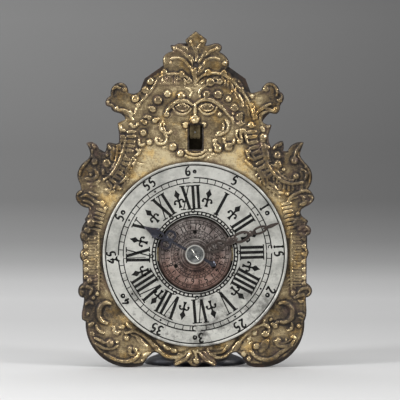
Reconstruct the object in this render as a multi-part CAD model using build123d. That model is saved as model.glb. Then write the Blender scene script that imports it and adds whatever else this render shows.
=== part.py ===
from build123d import *
import os
from math import acos, atan2, cos, degrees, hypot, pi, radians, sin, sqrt

# A small wall clock with a chased sheet front, a central alarm disc, a verge movement
# between two brass plates and a bell, mouth down, below them. Millimetres; +X is to the
# right of someone facing the dial, +Z is up and the dial faces -Y. Depths are counted
# from the front face of the iron backing plate, and grow towards the back of the clock.

# ---------------------------------------------------------------- driving dimensions
CENTRE_X = 0.0              # hands and dial
CENTRE_Z = 102.0
SLIDE_FIT = 0.05            # radial play of an arbor or pipe in its bearing
SEAT_FIT = 0.02             # radial play of a piece fixed on its arbor

# sheet front and backing plate
SHEET = 1.0                 # front plate thickness
RELIEF_LOW = 1.4            # height of the chased bands over the sheet
RELIEF_MID = 2.4
RELIEF_HIGH = 3.6
BACKING = 1.5               # iron backing plate thickness
SLOT_WIDTH = 11.7           # mouth slot in the front plate
SLOT_LOW = 196.3
SLOT_HIGH = 218.0
SLOT_X = 0.5
SLOT_MARGIN = 3.0           # the backing plate's slot is larger all round
CORNER_X = 59.0             # lowest point of the rounded lower corners, from the middle
CORNER_LIFT = 2.6           # the front plate's corners end this far over the floor
CORNER_WRAP = 17.0          # angle by which a corner's arc goes on past its lowest point
CREST_RIVET_Z = 272.5
CREST_RIVET_R = 1.1
CREST_RIVET_HEAD = 0.5
CREST_RIVET_HEAD_R = 1.9
RIVET_CROWN = 0.7           # flat top of its head, as a share of the head
RIVET_TAIL = 0.7            # riveted end behind the backing plate
PIPE_CLEAR = 1.5            # the plates' holes are larger than the alarm pipe by this radius

# chapter ring, its rivets and the alarm disc
RING_R = 83.0
RING_BORE_R = 34.6
RING_SHEET = 1.2
RING_STAND = 4.0            # air between the ring and the front plate
RING_LIP = 2.3              # width of the raised lip
RING_LIP_HEIGHT = 1.1
SKIRT_SHEET = 0.9
RING_SKIRT = 1.4            # the lip is turned back this far behind the ring
RING_TILT = 2.5             # the engraving and rivets sit turned back by this angle
RIVET_CIRCLE_R = 67.0
RIVET_R = 1.6
RIVET_HEAD_R = 2.7
RIVET_HEAD = 0.35
RIVET_COLLAR_R = 3.0
DISC_R = 33.0
DISC_SHEET = 1.0
DISC_RECESS = 0.9           # disc face behind the ring face
DISC_RIM = 2.0              # width of the disc's raised rim
DISC_RIM_HEIGHT = 0.5
DISC_BOSS_WIDE = 1.0
DISC_BOSS = 0.8             # boss round the pipe, in front of the disc
DISC_HOLE_R = 1.7
DISC_HOLE_CIRCLE = 20.0
DISC_HOLE_ANGLES = (90.0, 212.0, 326.0)

# pipes around the centre arbor
ARBOR_R = 1.5
SHOULDER_R = 2.4            # shoulder of the centre arbor
PIPE_WALL = 0.85
ALARM_PIPE_WALL = 1.05
HAND_SHEET = 0.8
HAND_GAP = 1.2              # air between one hand and the next
MINUTE_LENGTH = 80.0
HOUR_LENGTH = 51.0
HOUR_TAIL = 21.0
MINUTE_HUB_R = 6.0
HOUR_HUB = 1.8              # the hour hand's hub over its pipe's radius
# pierced loops: from, to, half width, wire, and distance to the side where there is one
MINUTE_LOOPS = ((10.0, 29.5, 5.1, 1.5), (36.0, 52.5, 4.7, 1.6), (55.5, 69.0, 3.3, 1.2))
MINUTE_BARS = (16.8, 22.8)  # bars across the first loop
MINUTE_BAR = (1.3, 8.0, 20.0)   # a bar's width, length and lean
MINUTE_BLADES = (
    ((5.0, 2.4), (9.0, 1.7), (11.2, 1.5)),
    ((28.4, 1.0), (31.0, 2.2), (34.5, 3.6), (36.5, 1.8), (39.5, 1.4), (40.5, 0.4)),
    ((50.5, 0.6), (52.5, 1.4), (53.8, 2.6), (55.2, 1.0), (58.0, 0.6)),
    ((66.0, 0.5), (68.5, 0.9), (72.5, 1.4), (76.5, 0.9), (MINUTE_LENGTH, 0.25)),
)
HOUR_LOOPS = ((22.4, 32.0, 4.4, 1.3, 4.6), (22.4, 32.0, 4.4, 1.3, -4.6), (31.5, 38.6, 3.2, 1.3))
HOUR_BLADES = (
    ((5.0, 1.2), (12.0, 0.7), (22.0, 0.7), (24.5, 1.6), (28.0, 0.9), (32.5, 1.2)),
    ((37.0, 0.8), (38.4, 5.2), (40.5, 4.3), (45.0, 2.3), (HOUR_LENGTH, 0.3)),
    ((-HOUR_TAIL, 0.5), (2.8 - HOUR_TAIL, 2.7), (5.4 - HOUR_TAIL, 1.0), (-5.0, 1.0)),
)
MINUTE_ANGLE = 69.5         # clockwise from twelve, as stored
HOUR_ANGLE = 298.5
COLLET_R = 8.6
COLLET_HEIGHT = 1.1
COLLET_FLAT_R = 4.7         # flat middle of the collet
COLLET_EDGE = 0.35          # thickness of its rim
CANNON_OVER = 0.2           # a pipe's end stands out of its hand
COLLET_PLAY = 0.1
ARBOR_OVER = 2.0            # the arbor's end stands out of the collet
HAND_PIN_R = 0.55
HAND_PIN_LENGTH = 11.0
HAND_PIN_LEAN = -57.0       # direction of the pin, from +X
HAND_PIN_CLEAR = 0.1

# movement frame
MOTION_SPACE = 16.5         # between the backing plate and the movement
PLATE = 2.0                 # movement plates
PLATE_SPACE = 38.0          # between them
FRAME_HALF = 46.0
FRAME_LOW = 42.0
FRAME_SHOULDER = 192.0
FRAME_TOP = 229.0
NECK_HALF = 21.0
FRAME_CORNER = 7.0
PILLAR_X = 39.5
PILLAR_LOW_Z = 49.0
PILLAR_HIGH_Z = 184.0
PILLAR_KNOP_R = 3.8
PILLAR_NECK_R = 2.08
PILLAR_FOOT = 2.0           # length of a pillar's foot, and of the taper next to it
PILLAR_KNOP = 3.0           # half the length of its middle knop
PILLAR_TENON_R = 1.9
PILLAR_TENON = 3.2          # tenon standing out of the back plate
PILLAR_PIN_R = 0.5
PILLAR_PIN_LENGTH = 9.0
PILLAR_PIN_GAP = 0.2        # from the back plate to the pin
DIAL_FEET = ((-34.0, 178.0), (34.0, 178.0), (-22.0, 50.0), (22.0, 50.0))
DIAL_FOOT_R = 2.4
FOOT_TENON_R = 1.6
FOOT_SINK = 0.2             # a foot's front end is sunk this far in the backing plate
FOOT_OVER = 1.5             # foot tenon standing out of the movement plate
STUD_R = 1.2
STUD_OVER = 0.8             # a stud stands this far out of what turns on it
STUD_GAP = 0.3              # from a stud's collar to what turns on it

# gear teeth, as shares of the module or of the pitch
WHEEL_TOOTH = 0.45
LEAF = 0.40
WHEEL_ADD = 0.95
WHEEL_DED = 0.70
LEAF_ADD = 0.40
LEAF_DED = 1.25
TOOTH_TIP = 0.18
SAW_ROOT = 0.40             # half a saw tooth's root and tip, as shares of the pitch
SAW_TIP = 0.08
TOOTH_INSET = 0.06          # face teeth stand in from their band's edges, as a share of it
WHEEL_SHEET = 1.6
TRAIN_ARBOR_R = 1.4
HUB_R = 4.0                 # middle of a train wheel, inside its spokes
CENTRE_HUB_R = 5.0
PIVOT_R = 0.8
PIVOT_OVER = 0.4            # pivots stand this far out of their plate
END_SHAKE = 0.3             # play of a shoulder against a movement plate
SPOKE = 2.4                 # width of a wheel's spokes
RIM = 2.2                   # rim inside the root of the teeth

# going train
GREAT_TEETH, CENTRE_LEAVES, GREAT_MODULE = 48, 6, 0.9
CENTRE_TEETH, THIRD_LEAVES, CENTRE_MODULE = 54, 6, 0.75
THIRD_TEETH, CONTRATE_LEAVES, THIRD_MODULE = 48, 6, 0.7
CONTRATE_TEETH, CROWN_LEAVES, CONTRATE_MODULE = 36, 6, 0.8
CROWN_TEETH = 15
BARREL_ANGLE = 228.0        # direction of the going barrel from the centre
CONTRATE_Z = 141.0
CENTRE_WHEEL_D = 2.0        # wheel planes, behind the movement front plate's inner face
THIRD_PINION_D = 1.0
GREAT_WHEEL_D = 7.0
CENTRE_PINION_D = 6.0
THIRD_WHEEL_D = 11.5
CONTRATE_PINION_D = 10.5
CONTRATE_WHEEL_D = 16.0
LEAF_LENGTH = 4.5
CONTRATE_BAND = 2.0         # radial width of the contrate teeth
CONTRATE_RIM = 3.44         # from the contrate wheel's web to the root of its teeth
DRUM_R = 20.0
DRUM_WALL = 1.4
DRUM_LENGTH = 22.5
BARREL_ARBOR_R = 2.6
BARREL_PIVOT_R = 2.2
BARREL_CAP = 1.6
SPRING_SHEET = 0.6
SPRING_TURNS = 5
SPRING_STEPS = 10           # straight runs in each turn of the coil
SPRING_CLEAR = 0.8          # spring to drum wall, cap and wheel
GREAT_WHEEL_SHEET = 2.5
SQUARE = 3.0                # winding square, across flats
SQUARE_LENGTH = 10.0
RATCHET_R = 8.0
RATCHET_TEETH = 16
RATCHET_TOOTH = 1.3
RATCHET_UNDERCUT = 2.0      # turn from a tooth's tip to the root under it
RATCHET_SHEET = 2.0
RATCHET_GAP = 0.4
CLICK_CLEAR = 0.3
CLICK_SIDE = 150.0          # direction of a click's nose from its barrel arbor
CLICK_LEAN = 68.0           # from that direction to the click's length
CLICK_LENGTH = 13.0
CLICK_WIDTH = 3.2
CLICK_STUD_R = 1.4
CLICK_GAP = 0.2             # play of a click under its stud's head
CLICK_HEAD = 0.7            # thickness of the head on a click's stud
CLICK_HEAD_R = 2.3
CLICK_NOSE = 1.4
SQUARE_BASE = 1.2           # round part between a ratchet wheel and its winding square

# crown wheel and verge
VERGE_Z = 212.0
VERGE_R = 1.2
CROWN_R = 11.5
CROWN_BAND = 1.2
CROWN_TOOTH = 4.0
CROWN_RIM = 3.0
CROWN_WEB = 1.2
CROWN_TIP_DROP = 3.8        # verge axis over the tooth tips
CROWN_ARBOR_R = 1.2
POTENCE_SHEET = 1.8
POTENCE_HALF = 2.6          # half the width of the arm over the crown wheel
POTENCE_FOOT = 5.5
POTENCE_GAP = 0.4           # from the tooth tips to the arm
POTENCE_DROP = 4.0          # its foot reaches this far below the arm
CROWN_FOOT_DROP = 7.5       # top of the bottom potence under the crown pinion's mesh
CROWN_PINION_LENGTH = 6.0
CROWN_SHAKE = 1.3           # from the bottom potence to the arbor's shoulder
FOOT_BAR_HALF = 3.2         # the bottom potence
FOOT_BAR_HIGH = 3.6
FOOT_BAR_GAP = 0.35         # from the contrate teeth to the bottom potence
POTENCE_CLEAR = 2.0         # from the crown wheel to the top potence's foot
CROWN_PIVOT = 1.5           # length of the crown arbor's foot pivot
CROWN_PIVOT_SINK = 0.2      # its top pivot ends this far inside the potence
CROWN_FILLET = 0.8          # rim left inside the crown wheel's band
CROWN_HUB_R = 3.4
PALLET_CLEAR = 0.3
PALLET_WIDTH = 4.0
PALLET_SHEET = 0.8
PALLET_SPREAD = 47.5        # each pallet from straight down
PENDULUM_D = 6.0            # pendulum plane behind the back plate
PENDULUM_LENGTH = 76.7
PENDULUM_ROD_R = 1.0
BOB_R = 13.0
BOB_SHEET = 7.0
BOB_SWELL = (0.6, 0.72)     # a place on the lens: shares of its radius and of half its thickness
COCK_SHEET = 2.0
COCK_SHAKE = 0.3            # play of the verge's shoulders between its cocks
COCK_TOP_DROP = 3.0         # top of a cock's foot under the top of the movement plate
COCK_FOOT = 5.0             # height of the front cock's foot
BACK_COCK_WIDTH = 13.0
BACK_COCK_ROUND = 4.0
BACK_COCK_UNDER = 6.0       # the back cock reaches this far under the verge
BACK_COCK_OVER = 2.0        # and this far over its foot
BACK_FOOT_HALF = 5.0
BACK_FOOT = 6.0             # height of the back cock's foot
PENDULUM_BOSS_R = 3.2
PENDULUM_BOSS = 3.2         # length of the pendulum's boss on the verge
PENDULUM_ROD_OVER = 5.0     # the rod stands out below the bob
COCK_STAND = 10.5           # outer face of the back cock from the back plate
FRONT_COCK_WIDTH = 9.2
FRONT_COCK_LOW = 206.0
COCK_LOBE = 0.36            # radius of the cock's three lobes, as a share of half its width
FRONT_COCK_STAND = 13.0     # outer face of the front cock from the movement plate

# motion work
CANNON_LEAVES, MINUTE_TEETH = 8, 24
MINUTE_LEAVES, HOUR_TEETH = 6, 24
CANNON_MODULE = 0.75
MOTION_ANGLE = -40.0        # direction of the minute wheel from the centre
MINUTE_WHEEL_D = 2.5        # in front of the movement plate
MINUTE_PINION_LENGTH = 4.0
MINUTE_WHEEL_HUB_R = 3.4
CANNON_LEAF_LEAD = 1.0      # the cannon pinion's leaves stand past the minute wheel
CANNON_BACK = 0.5           # its back end in front of the movement plate
HOUR_WHEEL_D = 6.0
HOUR_WHEEL_HUB = 1.2        # its middle, over the radius of its pipe

# alarm work
ALARM_TEETH, ALARM_LEAVES, ALARM_MODULE = 36, 6, 0.75
ALARM_BARREL = (22.0, 72.0)
ALARM_ANGLE = 20.0          # direction of the alarm crown arbor from its barrel
ALARM_DRUM_R = 12.2
ALARM_WHEEL_D = 13.0
ALARM_WHEEL_SHEET = 2.0
ALARM_DRUM_LENGTH = 19.0
ALARM_CROWN_R = 9.0
ALARM_CROWN_TEETH = 9
ALARM_CROWN_WEB_D = 3.0     # back of the web in front of the movement plate
ALARM_TOOTH = 3.0
ALARM_RIM = 1.2
ALARM_VERGE_D = 10.5        # verge axis in front of the movement plate
ALARM_VERGE_TOP = 99.0
ALARM_COCKS_Z = (59.5, 92.5)
ALARM_COCK_HEIGHT = 3.0
ALARM_COCK_HALF = 3.2
ALARM_COCK_NOSE = 3.0       # a cock reaches this far past the alarm verge's axis
ALARM_LEAF_LEAD = 1.2       # the pinion starts this far in front of the alarm wheel
ALARM_ARBOR_OVER = 0.5
VERGE_COLLAR = 1.5
CAM_R = 12.0
CAM_SHEET = 1.5
CAM_D = 12.5                # cam back face in front of the movement plate
CAM_NOTCH = 30.0
CAM_NOTCH_SIDE = 4.2
DETENT_PIVOT = (24.0, 114.0)
DETENT_NOSE_ANGLE = 48.0
DETENT_CLEAR = 0.3
DETENT_WIDTH = 3.0
DETENT_SHEET = 1.2
DETENT_GAP = 0.15           # the lever lies this far behind the cam's back face
DETENT_END = 1.0            # half the width of its tip
DETENT_TIP = (1.5, 2.0)     # its tip is left of the alarm verge and over its top

# bell and hammer
BELL_R = 47.0
BELL_LIP = 2.0              # thickness of the rim at the mouth
BELL_WALL = 1.6
BELL_HEIGHT = 36.0
BELL_WAIST_R = 26.5
BELL_WAIST_Z = 18.0
# places on the bell's line: shares of the way from waist to rim and from mouth to waist
BELL_FLARE = ((0.854, 0.211), (0.561, 0.367), (0.244, 0.533), (0.073, 0.75))
BELL_FLARE_INSIDE = ((0.891, 0.111), (0.602, 0.278), (0.279, 0.456), (0.075, 0.722))
# above the waist: shares of the waist's radius and of the way from waist to crown
BELL_SHOULDER = ((0.928, 0.389), (0.717, 0.756), (0.415, 0.956))
BELL_SEAT = 0.8             # flat round the stud's collar
BELL_D = 33.0               # bell axis behind the movement plate's front face
BELL_BAR_HALF = 5.0
BELL_BAR_HEIGHT = 4.0
BELL_STUD_R = 2.0
BELL_NUT_R = 4.2
BELL_NUT = 3.0
BELL_STUD_OVER = 1.5        # the stud stands out of its nut
BELL_HEAD = 2.5             # thickness of the stud's head inside the bell
HAMMER_LENGTH = 34.0
HAMMER_HEAD_R = 3.5
HAMMER_HEAD_HEIGHT = 7.0
HAMMER_HEAD_LOW = 17.5
HAMMER_GAP = 2.2
HAMMER_WIRE = 1.6
HAMMER_BOSS = 3.6
HAMMER_CHAMFER = 0.8

# ---------------------------------------------------------------- derived depths
RING_FACE = -SHEET - RING_STAND - RING_SHEET
DISC_FACE = RING_FACE + DISC_RECESS
LIP_FACE = RING_FACE - RING_LIP_HEIGHT
HOUR_BACK = LIP_FACE
HOUR_FACE = HOUR_BACK - HAND_SHEET
MINUTE_BACK = HOUR_FACE - HAND_GAP
MINUTE_FACE = MINUTE_BACK - HAND_SHEET
CANNON_FACE = MINUTE_FACE - CANNON_OVER
COLLET_FACE = CANNON_FACE - COLLET_PLAY - COLLET_HEIGHT
ARBOR_FACE = COLLET_FACE - ARBOR_OVER
FRONT_D0 = BACKING + MOTION_SPACE
FRONT_D1 = FRONT_D0 + PLATE
BACK_D0 = FRONT_D1 + PLATE_SPACE
BACK_D1 = BACK_D0 + PLATE
BELL_AXIS_D = FRONT_D0 + BELL_D
REAR_END = BELL_AXIS_D + BELL_R
MID_DEPTH = (ARBOR_FACE + REAR_END) / 2
PENDULUM_PLANE = BACK_D1 + PENDULUM_D

CANNON_R = ARBOR_R + SLIDE_FIT + PIPE_WALL
HOUR_PIPE_R = CANNON_R + SLIDE_FIT + PIPE_WALL
ALARM_PIPE_R = HOUR_PIPE_R + SLIDE_FIT + ALARM_PIPE_WALL


# ---------------------------------------------------------------- places in the frame
def polar(origin, distance, angle):
    return (origin[0] + distance * cos(radians(angle)), origin[1] + distance * sin(radians(angle)))


def heading(a, b):
    return degrees(atan2(b[1] - a[1], b[0] - a[0]))


def centres(module, teeth, leaves):
    return module * (teeth + leaves) / 2


DIAL = (CENTRE_X, CENTRE_Z)
BARREL = polar(DIAL, centres(GREAT_MODULE, GREAT_TEETH, CENTRE_LEAVES), BARREL_ANGLE)
CONTRATE = (CENTRE_X, CONTRATE_Z)
TO_THIRD = centres(CENTRE_MODULE, CENTRE_TEETH, THIRD_LEAVES)
FROM_THIRD = centres(THIRD_MODULE, THIRD_TEETH, CONTRATE_LEAVES)
CLIMB = CONTRATE_Z - CENTRE_Z
THIRD_UP = (TO_THIRD ** 2 - FROM_THIRD ** 2 + CLIMB ** 2) / (2 * CLIMB)
THIRD = (CENTRE_X + sqrt(TO_THIRD ** 2 - THIRD_UP ** 2), CENTRE_Z + THIRD_UP)
MOTION_CENTRES = centres(CANNON_MODULE, MINUTE_TEETH, CANNON_LEAVES)
HOUR_MODULE = 2 * MOTION_CENTRES / (HOUR_TEETH + MINUTE_LEAVES)
MINUTE_STUD = polar(DIAL, MOTION_CENTRES, MOTION_ANGLE)
ALARM_CROWN = polar(ALARM_BARREL, centres(ALARM_MODULE, ALARM_TEETH, ALARM_LEAVES), ALARM_ANGLE)
ALARM_AXIS_D = FRONT_D0 - ALARM_VERGE_D

CONTRATE_WEB_D = FRONT_D1 + CONTRATE_WHEEL_D
CONTRATE_ROOT_D = CONTRATE_WEB_D + WHEEL_SHEET + CONTRATE_RIM
CONTRATE_PITCH_D = CONTRATE_ROOT_D + WHEEL_DED * CONTRATE_MODULE
CONTRATE_TIP_D = CONTRATE_PITCH_D + WHEEL_ADD * CONTRATE_MODULE
CROWN_AXIS_D = CONTRATE_PITCH_D + CROWN_LEAVES * CONTRATE_MODULE / 2
CROWN_TIP_Z = VERGE_Z - CROWN_TIP_DROP
CROWN_MESH_Z = CONTRATE_Z + CONTRATE_TEETH * CONTRATE_MODULE / 2


def front_plane(depth, x=0.0, z=0.0):
    """Drawing plane seen by someone who faces the dial: local x is +X, local y is +Z."""
    return Plane(origin=(x, depth - MID_DEPTH, z), x_dir=(1, 0, 0), z_dir=(0, -1, 0))


def slab(sketch, front, back):
    """A sketch in dial view made solid from one depth to a deeper one."""
    return extrude(front_plane(back) * sketch, amount=back - front)


def rod(radius, front, back, at=DIAL, bore=0.0):
    disc = Pos(*at) * Circle(radius)
    if bore:
        disc -= Pos(*at) * Circle(bore)
    return slab(disc, front, back)


def bar(x0, x1, front, back, z0, z1):
    return slab(Pos((x0 + x1) / 2, (z0 + z1) / 2) * Rectangle(x1 - x0, z1 - z0), front, back)


def post(radius, low, high, x, depth):
    """An upright round rod."""
    return extrude(Plane.XY.offset(low) * Pos(x, depth - MID_DEPTH) * Circle(radius), amount=high - low)


def turned(profile, at=DIAL):
    """A turned piece on an axis that runs from front to back; the profile is (radius, depth)."""
    points = [(at[0] + r, d - MID_DEPTH, at[1]) for r, d in profile]
    return revolve(make_face(Polyline(*points, close=True)), Axis((at[0], 0, at[1]), (0, 1, 0)))


def path_face(start, runs):
    """A closed outline. Each run goes on from the last point: a tuple of two points is an
    arc through the first to the second, one point is a straight line, more are a curve."""
    edges = []
    last = start
    for run in runs:
        points = [last] + list(run)
        if isinstance(run, tuple):
            edges.append(ThreePointArc(*points))
        elif len(points) == 2:
            edges.append(Line(*points))
        else:
            edges.append(Spline(*points))
        last = run[-1]
    if hypot(last[0] - start[0], last[1] - start[1]) > SEAT_FIT:
        edges.append(Line(last, start))
    return make_face(edges)


def mirrored(points):
    return [(-x, z) for x, z in points]


# ---------------------------------------------------------------- gear teeth
def toothed(teeth, module, phase, add, ded, tooth, tip, root=None):
    """Outline of a wheel or pinion, one tooth centred on the phase angle."""
    pitch = pi * module
    r_pitch = teeth * module / 2
    r_tip = r_pitch + add * module
    r_root = r_pitch - ded * module
    half_tip = tip * pitch / 2
    half_pitch = tooth * pitch / 2
    flank = (half_tip - half_pitch) / (r_tip - r_pitch)
    half_root = half_pitch + flank * (r_root - r_pitch) if root is None else root * pitch / 2
    points = []
    for k in range(teeth):
        a = radians(phase) + 2 * pi * k / teeth
        for r, w in ((r_root, -half_root), (r_tip, -half_tip), (r_tip, half_tip), (r_root, half_root)):
            points.append((r * cos(a) - w * sin(a), r * sin(a) + w * cos(a)))
    return make_face(Polyline(*points, close=True))


def wheel_outline(teeth, module, phase):
    return toothed(teeth, module, phase, WHEEL_ADD, WHEEL_DED, WHEEL_TOOTH, TOOTH_TIP)


def pinion_outline(leaves, module, phase):
    return toothed(leaves, module, phase, LEAF_ADD, LEAF_DED, LEAF, LEAF * 0.6, LEAF * 0.62)


def root_radius(teeth, module):
    return teeth * module / 2 - WHEEL_DED * module


def crossings(spokes, hub, rim):
    """The windows between a wheel's spokes."""
    windows = Circle(rim) - Circle(hub)
    for k in range(spokes):
        windows -= Rot(0, 0, 360 * k / spokes) * Pos((rim + hub) / 2, 0) * Rectangle(rim, SPOKE)
    return windows


def spoked_wheel(teeth, module, phase, bore, hub, spokes=4):
    face = wheel_outline(teeth, module, phase)
    face -= crossings(spokes, hub, root_radius(teeth, module) - RIM)
    return face - Circle(bore)


def gap_phase(leaves, direction):
    """Phase of a pinion whose gap looks along a direction."""
    return direction + 180.0 / leaves


def crown_of_teeth(count, r_out, band, rim, tooth, phase, saw=False, root_share=0.55):
    """Face teeth on a band, standing up along local +Z from the level z = 0."""
    ring = extrude(Circle(r_out) - Circle(r_out - band), amount=rim)
    pitch = 2 * pi * (r_out - band) / count
    half_root = pitch * (SAW_ROOT if saw else root_share / 2)
    half_tip = pitch * (SAW_TIP if saw else TOOTH_TIP / 2)
    lean = half_root - half_tip if saw else 0.0
    inset = band * TOOTH_INSET
    x = r_out - band + inset
    profile = Polyline(
        (x, -half_root, rim), (x, half_root, rim),
        (x, half_tip + lean, rim + tooth), (x, -half_tip + lean, rim + tooth), close=True)
    one = extrude(make_face(profile), amount=band - 2 * inset, dir=(1, 0, 0))
    teeth = [Rot(0, 0, phase + 360 * k / count) * one for k in range(count)]
    return ring + teeth


# ---------------------------------------------------------------- sheet front
CREST_TIP = (0.5, 303.0)
RIGHT_EDGE = [
    [(10.5, 295.5)], [(10.3, 292.5), (9, 290)],
    [(13.5, 290.7), (18, 292), (24, 289.5)], [(24, 286.5), (22, 284)],
    [(27, 281), (30.5, 275.5), (30, 270)], [(28.5, 268), (31.5, 265.5)], [(34, 262)],
    [(38, 260.3), (41.5, 257.5), (44, 252.5), (49, 248), (55, 247.8)], [(60, 249.8)],
    [(61.5, 253.5), (68, 257), (74, 253.5), (76, 248.5)],
    [(79, 246.5), (80, 242), (78, 238)], [(76, 236)],
    [(76.3, 232), (73.5, 228.5), (67, 229), (62, 226.5), (60.5, 222)],
    [(62.5, 219.8), (69, 219)], [(68, 214.5), (66.3, 209), (67, 202.5), (69, 198)],
    [(72, 201.5), (79, 204.3)], [(80, 200), (79.5, 195)], [(83.5, 194.5)],
    [(87, 200.3), (92, 202.7), (98, 202.8)], [(96.5, 198.5), (94.5, 193)],
    [(95.5, 189), (102, 181.5), (105.5, 173), (105, 167), (102, 161)],
    [(106, 156.5), (107.5, 152), (105, 148), (100, 145)], [(96, 142.5)],
    [(96, 137), (99.5, 134), (102, 131.8)], [(100.5, 128.5)],
    [(104, 125.5), (104.3, 121.5), (101, 118.5)], [(101, 108)], [(102.5, 103.5)], [(100.5, 98)],
    [(100.5, 76)], [(104, 73), (105.5, 69), (104, 65), (100, 63)],
    [(100.3, 55), (100.2, 47), (98, 41)],
]
LEFT_EDGE = [
    [(-8.5, 295.3)], [(-8, 292), (-6.3, 290)],
    [(-9.5, 290), (-14, 292), (-17.5, 290.8), (-22, 290.5)], [(-21.5, 287.5), (-20, 285)],
    [(-24.5, 283.3), (-28.3, 280), (-29, 275), (-28.5, 271)], [(-30.5, 267.5), (-34, 265)],
    [(-38, 262.5), (-42.5, 260), (-44.5, 257), (-45.5, 254)],
    [(-48.5, 251), (-51, 248), (-56, 246.5), (-60, 247.7)],
    [(-60.8, 252), (-63, 255.3), (-67, 256.7), (-72, 255), (-75.5, 250.5), (-75.8, 245)],
    [(-79.5, 242), (-80.7, 239), (-80, 235.8)], [(-75.5, 234)],
    [(-74, 231), (-69, 229.2), (-64.5, 227), (-63, 223)], [(-69.8, 220)],
    [(-69, 214), (-68.3, 207), (-68.5, 203)], [(-71, 201.5), (-77, 202.6), (-79.7, 201)],
    [(-80, 196.5), (-82, 193.2)], [(-86, 196.5), (-89, 201), (-93, 203), (-98, 201.8)],
    [(-95.5, 197), (-94.3, 192.5)],
    [(-95.5, 188.8), (-101, 184), (-105, 177.5), (-106, 172), (-103.5, 165), (-103, 160)],
    [(-106.5, 157.5), (-107.5, 153), (-105.5, 148.5), (-102, 145.3), (-96, 143.5)],
    [(-95.5, 141)], [(-97, 137), (-99.3, 134)], [(-98.5, 130.5)], [(-101, 127.5)],
    [(-101, 123.5)], [(-103.5, 119.5), (-103.3, 116.5), (-101.5, 113)], [(-101, 107)],
    [(-103.5, 102.5), (-103.3, 98.5), (-101.3, 95.5)], [(-101, 76)],
    [(-104, 73.5), (-105.3, 69), (-104, 64.5), (-100, 62.7)],
    [(-100.5, 57), (-101.8, 50), (-101.6, 43)], [(-98, 41)],
]
# from the inner end of a lower corner to the point of the hanging leaf, right side
HEM = [
    [(44, 8), (40, 12), (36.5, 13.5)], [(33, 12.5), (29, 9.2), (24, 7.3), (18.5, 6.5)],
    [(19.5, 3.5), (18, 0.9)], [(12, 3.2), (7, 4.2), (4.5, 3)], [(3, 1.4), (0.5, 0.8)],
]
# the same for the backing plate, which keeps behind the front plate almost everywhere
BACKING_TIP = (0.0, 300.5)
BACKING_EDGE = [
    [(8.0, 294.5)], [(7.2, 288)], [(20.5, 287.8)], [(20, 283)], [(27, 277), (28, 272.5)],
    [(45.5, 260)], [(50.5, 246.8)], [(60.5, 246.2)], [(64, 253), (71, 253.5), (74, 246.5)],
    [(78, 242), (74, 232.5)], [(64, 226), (60.5, 221)], [(67, 217.5)], [(65, 208), (67.5, 196.5)],
    [(77.5, 200.5)], [(79, 192.5)], [(88, 197.5), (95, 200)], [(92.5, 191.5)],
    [(101, 181), (103.5, 171), (100.5, 160)], [(105, 153), (99.5, 146.5)], [(93.5, 141.5)],
    [(98, 132)], [(102, 121), (99.5, 116)], [(99.5, 76)], [(103, 69), (98.5, 62.5)], [(98.5, 43)],
]
BACKING_HEM = [[(42, 9.5)], [(36, 14.5)], [(25, 10.5), (12, 9), (0, 8.5)]]


def corner_run(edge_end, low):
    """The rounded lower corner: an arc from the outer edge through its lowest point."""
    side = 1 if edge_end[0] > 0 else -1
    across = abs(edge_end[0]) - CORNER_X
    drop = edge_end[1] - low
    radius = (across ** 2 + drop ** 2) / (2 * drop)
    inner = polar((side * CORNER_X, low + radius), radius, -90 - side * CORNER_WRAP)
    return ((side * CORNER_X, low), inner)


def plate_outline(tip, right, left, hem_right, hem_left, low):
    """Both sides of a plate joined at the crest and at the middle of the hem."""
    runs = right + [corner_run(right[-1][-1], low)] + hem_right
    left_runs = left + [corner_run(left[-1][-1], low)] + hem_left
    # the left side is walked upwards: each run reversed, ending at the point before it
    starts = [tip] + [run[-1] for run in left_runs[:-1]]
    upward = [run[-2::-1] + type(run)([start]) for run, start in zip(left_runs, starts)]
    return path_face(tip, runs + upward[::-1])


def front_outline():
    hem_left = [mirrored(run) for run in HEM]
    hem_left[-1] = hem_left[-1][:-1] + [HEM[-1][-1]]
    return plate_outline(CREST_TIP, RIGHT_EDGE, LEFT_EDGE, HEM, hem_left, CORNER_LIFT)


def backing_outline():
    left = [mirrored(run) for run in BACKING_EDGE]
    hem_left = [mirrored(run) for run in BACKING_HEM]
    hem_left[-1] = hem_left[-1][:-1] + [BACKING_HEM[-1][-1]]
    return plate_outline(BACKING_TIP, BACKING_EDGE, left, BACKING_HEM, hem_left, 0.0)


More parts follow.
